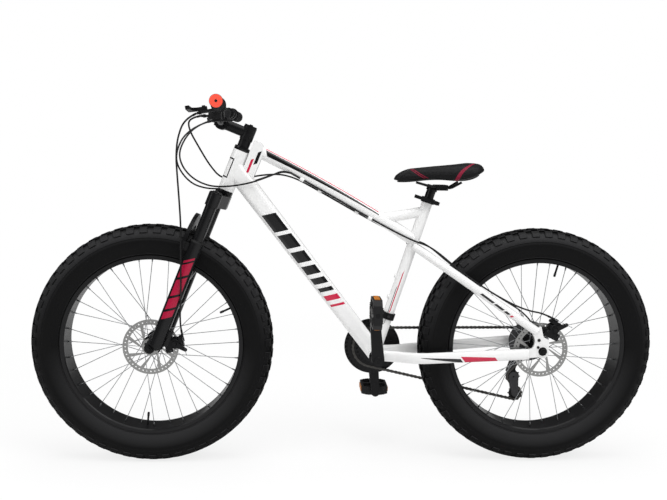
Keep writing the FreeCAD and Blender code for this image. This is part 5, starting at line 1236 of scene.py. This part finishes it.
# brake inner wires from each housing's end to its arm
wireSet = {
    "radius": 0.0008,
    "tail": 0.012,
    "tip": mm((1.1, 0), (1.3, 0.4), (1.3, 4), (1, 4.4)),
    "ends": (("front", frontCaliper, 0.0812, "lowers"), ("rear", rearCaliper, 0.0987, "frame")),
}


def makeInnerWire(kit, side, caliper, out, near):
    start = Vector(cableSet[side + "_brake_housing"][-1])
    stop = caliperSpot(*caliper, armAhead, out, armOver)
    tail = stop + (stop - start).normalized() * kit["tail"]
    bm = bmesh.new()
    addTube(bm, [start.lerp(stop, number / 8) for number in range(9)], kit["radius"], 8)
    addTube(bm, [stop, tail], kit["radius"], 8)
    addLathe(bm, kit["tip"], pointing(tail, stop - start), 10)
    made = piece(side + "_brake_wire", bm, spokeSteel)
    side + "_brake_arm"
    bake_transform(made)


for wireEnd in wireSet["ends"]:
    makeInnerWire(wireSet, *wireEnd)
print("controls trimmed")

# saddle: foam pad swelled as cloth, then its sewn bands
saddleSet = {
    "voxel": 0.004, "shrink": 0.0025, "pressure": 4.0, "stiffness": 25, "frames": 20, "cap": 0.0045,
    "seam": 0.0009, "reach": 0.004, "spine": 0.006, "hem": 0.0028, "drop": 1.2, "flank": 0.3,
    "smoothing": 4, "specular": 0.13, "grain": 620.0, "clouding": (25.0, 3.0), "roughness": 0.46,
    "spread": 0.14, "bump": (0.00035, 0.5),
    "vinyl": (shade(0.005, 0.005, 0.0055), shade(0.008, 0.008, 0.0085)),
}


def vinylFinish():
    kit = saddleSet
    material, wire, shader = newFinish("saddleVinyl", {"Specular IOR Level": kit["specular"]})
    place = wire.add("TexCoord", output="Object")
    grain = wire.add("TexVoronoi", {"feature": "DISTANCE_TO_EDGE"}, {"Vector": place, "Scale": kit["grain"]})
    cloud = noise(place, *kit["clouding"])
    tone = wire.mix(cloud, *kit["vinyl"])
    for mask in saddleBands(place):
        tone = wire.mix(mask, tone, paint["saddleCrimson"])
    feed(wire, shader, tone, kit["roughness"] + cloud * kit["spread"], grain, *kit["bump"])
    return material


# the sewn bands: a point and a direction in the side view, half width, taper, bend and bare middle
saddleBandSet = (
    {"point": (-0.199, 0.8566), "ahead": (-0.836, -0.549), "half": 0.0036, "taper": 0.0, "bend": 2.0,
     "bare": 0.0012},
    {"point": (-0.3182, 0.8615), "ahead": (-0.63, 0.777), "half": 0.0042, "taper": 0.06, "bend": -8.0,
     "bare": -1.0},
)


def bandFrame(band):  # where a band starts, along it and across it
    ahead = Vector((band["ahead"][0], 0, band["ahead"][1])).normalized()
    return Vector((band["point"][0], 0, band["point"][1])), ahead, Vector((-ahead.z, 0, ahead.x))


def saddleBands(place):
    masks = []
    for band in saddleBandSet:
        origin, ahead, over = bandFrame(band)
        run = along(place, origin, ahead)
        off = (along(place, origin, over) + run * run * band["bend"]).size()
        width = band["half"] - run * band["taper"]
        masks.append((off < width) * (off > band["bare"]) * (beside(place) > saddleSet["spine"]))
    return masks


def sewBands(pad):  # press a seam along both edges of each band
    kit = saddleSet
    for vertex in pad.data.vertices:
        if abs(vertex.co.y) < kit["spine"]:
            continue
        for band in saddleBandSet:
            origin, ahead, over = bandFrame(band)
            run = (vertex.co - origin).dot(ahead)
            off = (vertex.co - origin).dot(over) + run * run * band["bend"]
            near = abs(abs(off) - band["half"] + run * band["taper"])
            if near < kit["reach"]:
                vertex.co -= vertex.normal * kit["seam"] * (1 - near / kit["reach"])


def applied(thing):  # bake what its modifiers give into its mesh
    bpy.context.view_layer.update()
    graph = bpy.context.evaluated_depsgraph_get()
    mesh = bpy.data.meshes.new_from_object(thing.evaluated_get(graph))
    thing.modifiers.clear()
    thing.data = mesh


def makeSaddle():
    kit = saddleSet
    pad = placed("saddle_cover", nodes["saddle_pad"].data.copy())
    remesh = pad.modifiers.new("remesh", "REMESH")
    remesh.mode = "VOXEL"
    remesh.voxel_size = kit["voxel"]
    applied(pad)
    smooth = pad.modifiers.new("smooth", "SMOOTH")
    smooth.iterations = kit["smoothing"]
    applied(pad)
    for vertex in pad.data.vertices:
        vertex.co -= vertex.normal * kit["shrink"]
    start = [vertex.co.copy() for vertex in pad.data.vertices]
    cloth = pad.modifiers.new("cloth", "CLOTH")
    cloth.settings.use_pressure = True
    cloth.settings.uniform_pressure_force = kit["pressure"]
    cloth.settings.effector_weights.gravity = 0.0
    cloth.settings.tension_stiffness = kit["stiffness"]
    for number in range(1, kit["frames"] + 1):
        scene.frame_set(number)
    applied(pad)
    scene.frame_set(1)
    for vertex, spot in zip(pad.data.vertices, start):
        move = vertex.co - spot
        if move.length > kit["cap"]:
            vertex.co = spot + move.normalized() * kit["cap"]
    for vertex in pad.data.vertices:  # the cover comes down over the edge of the base
        if vertex.normal.z < kit["flank"]:
            vertex.co += Vector((vertex.normal.x, vertex.normal.y, -kit["drop"])) * kit["hem"]
    sewBands(pad)
    divide = pad.modifiers.new("divide", "SUBSURF")
    divide.levels = 1
    divide.render_levels = 1
    applied(pad)
    pad.data.polygons.foreach_set("use_smooth", [True] * len(pad.data.polygons))
    pad.data.materials.clear()
    pad.data.materials.append(vinylFinish())
    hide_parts("saddle_pad")
    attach(pad, "seat")


makeSaddle()
print("saddle made")

# studio: pale floor, white surround, soft lamps
studio = {
    "floor": 0.84,
    "reach": 14.0,
    "aim": (0, 0, 0.5),
    "showThrough": 0.8,
    "fade": (0.9, 2.4),  # where the floor's shading starts and ends giving way to white
    "ambient": 0.58,
    "mirrored": 0.12,
    "lamps": (
        ("key", (-2.5, 2.3, 3.9), 2.6, 78.0),
        ("fill", (3.3, 1.7, 2.7), 2.4, 34.0),
        ("top", (0.0, 0.3, 3.6), 3.2, 76.0),
    ),
}


def makeStudio(kit):
    world = bpy.data.worlds.new("surround")
    scene.world = world
    world.use_nodes = True
    wire = Wire(world.node_tree)
    background = world.node_tree.nodes["Background"]
    background.inputs["Color"].default_value = shade(1, 1, 1)
    seen = wire.add("LightPath")  # white for the camera, dim in mirrors
    dimmed = seen.out("Is Glossy Ray") * (kit["ambient"] - kit["mirrored"])
    wire.join(seen * (1 - kit["ambient"]) + kit["ambient"] - dimmed, background.inputs["Strength"])
    bm = bmesh.new()
    bmesh.ops.create_grid(bm, x_segments=8, y_segments=8, size=kit["reach"])
    mesh = bpy.data.meshes.new("floor")
    bm.to_mesh(mesh)
    bm.free()
    floor = placed("floor", mesh)
    material, wire, shader = newFinish("paleFloor", {"Roughness": 0.9, "Specular IOR Level": 0.0})
    shader.inputs["Base Color"].default_value = shade(kit["floor"], kit["floor"], kit["floor"])
    glow = wire.add("Emission", {}, {"Color": shade(1, 1, 1), "Strength": 1.0})
    spot = wire.add("TexCoord", output="Object")
    away = wire.add("VectorMath", {"operation": "LENGTH"}, {0: spot}, "Value")
    near, far = kit["fade"]
    share = wire.add("MapRange", {"interpolation_type": "SMOOTHSTEP"}, {
        "Value": away, "From Min": near, "From Max": far, "To Min": kit["showThrough"], "To Max": 1.0})
    mixed = wire.add("MixShader", {}, {0: wire.add("LightPath") * share,
                                       1: Wire(wire.tree, shader.outputs["BSDF"]), 2: glow})
    wire.join(mixed, wire.tree.nodes["Material Output"].inputs["Surface"])
    mesh.materials.append(material)
    for name, place, size, power in kit["lamps"]:
        lamp = bpy.data.lights.new(name, "AREA")
        lamp.shape = "DISK"
        lamp.size = size
        lamp.energy = power
        holder = placed(name, lamp)
        aim = Vector(kit["aim"]) - Vector(place)
        holder.matrix_world = Matrix.Translation(place) @ aim.to_track_quat("-Z", "Y").to_matrix().to_4x4()


makeStudio(studio)
print("studio set")
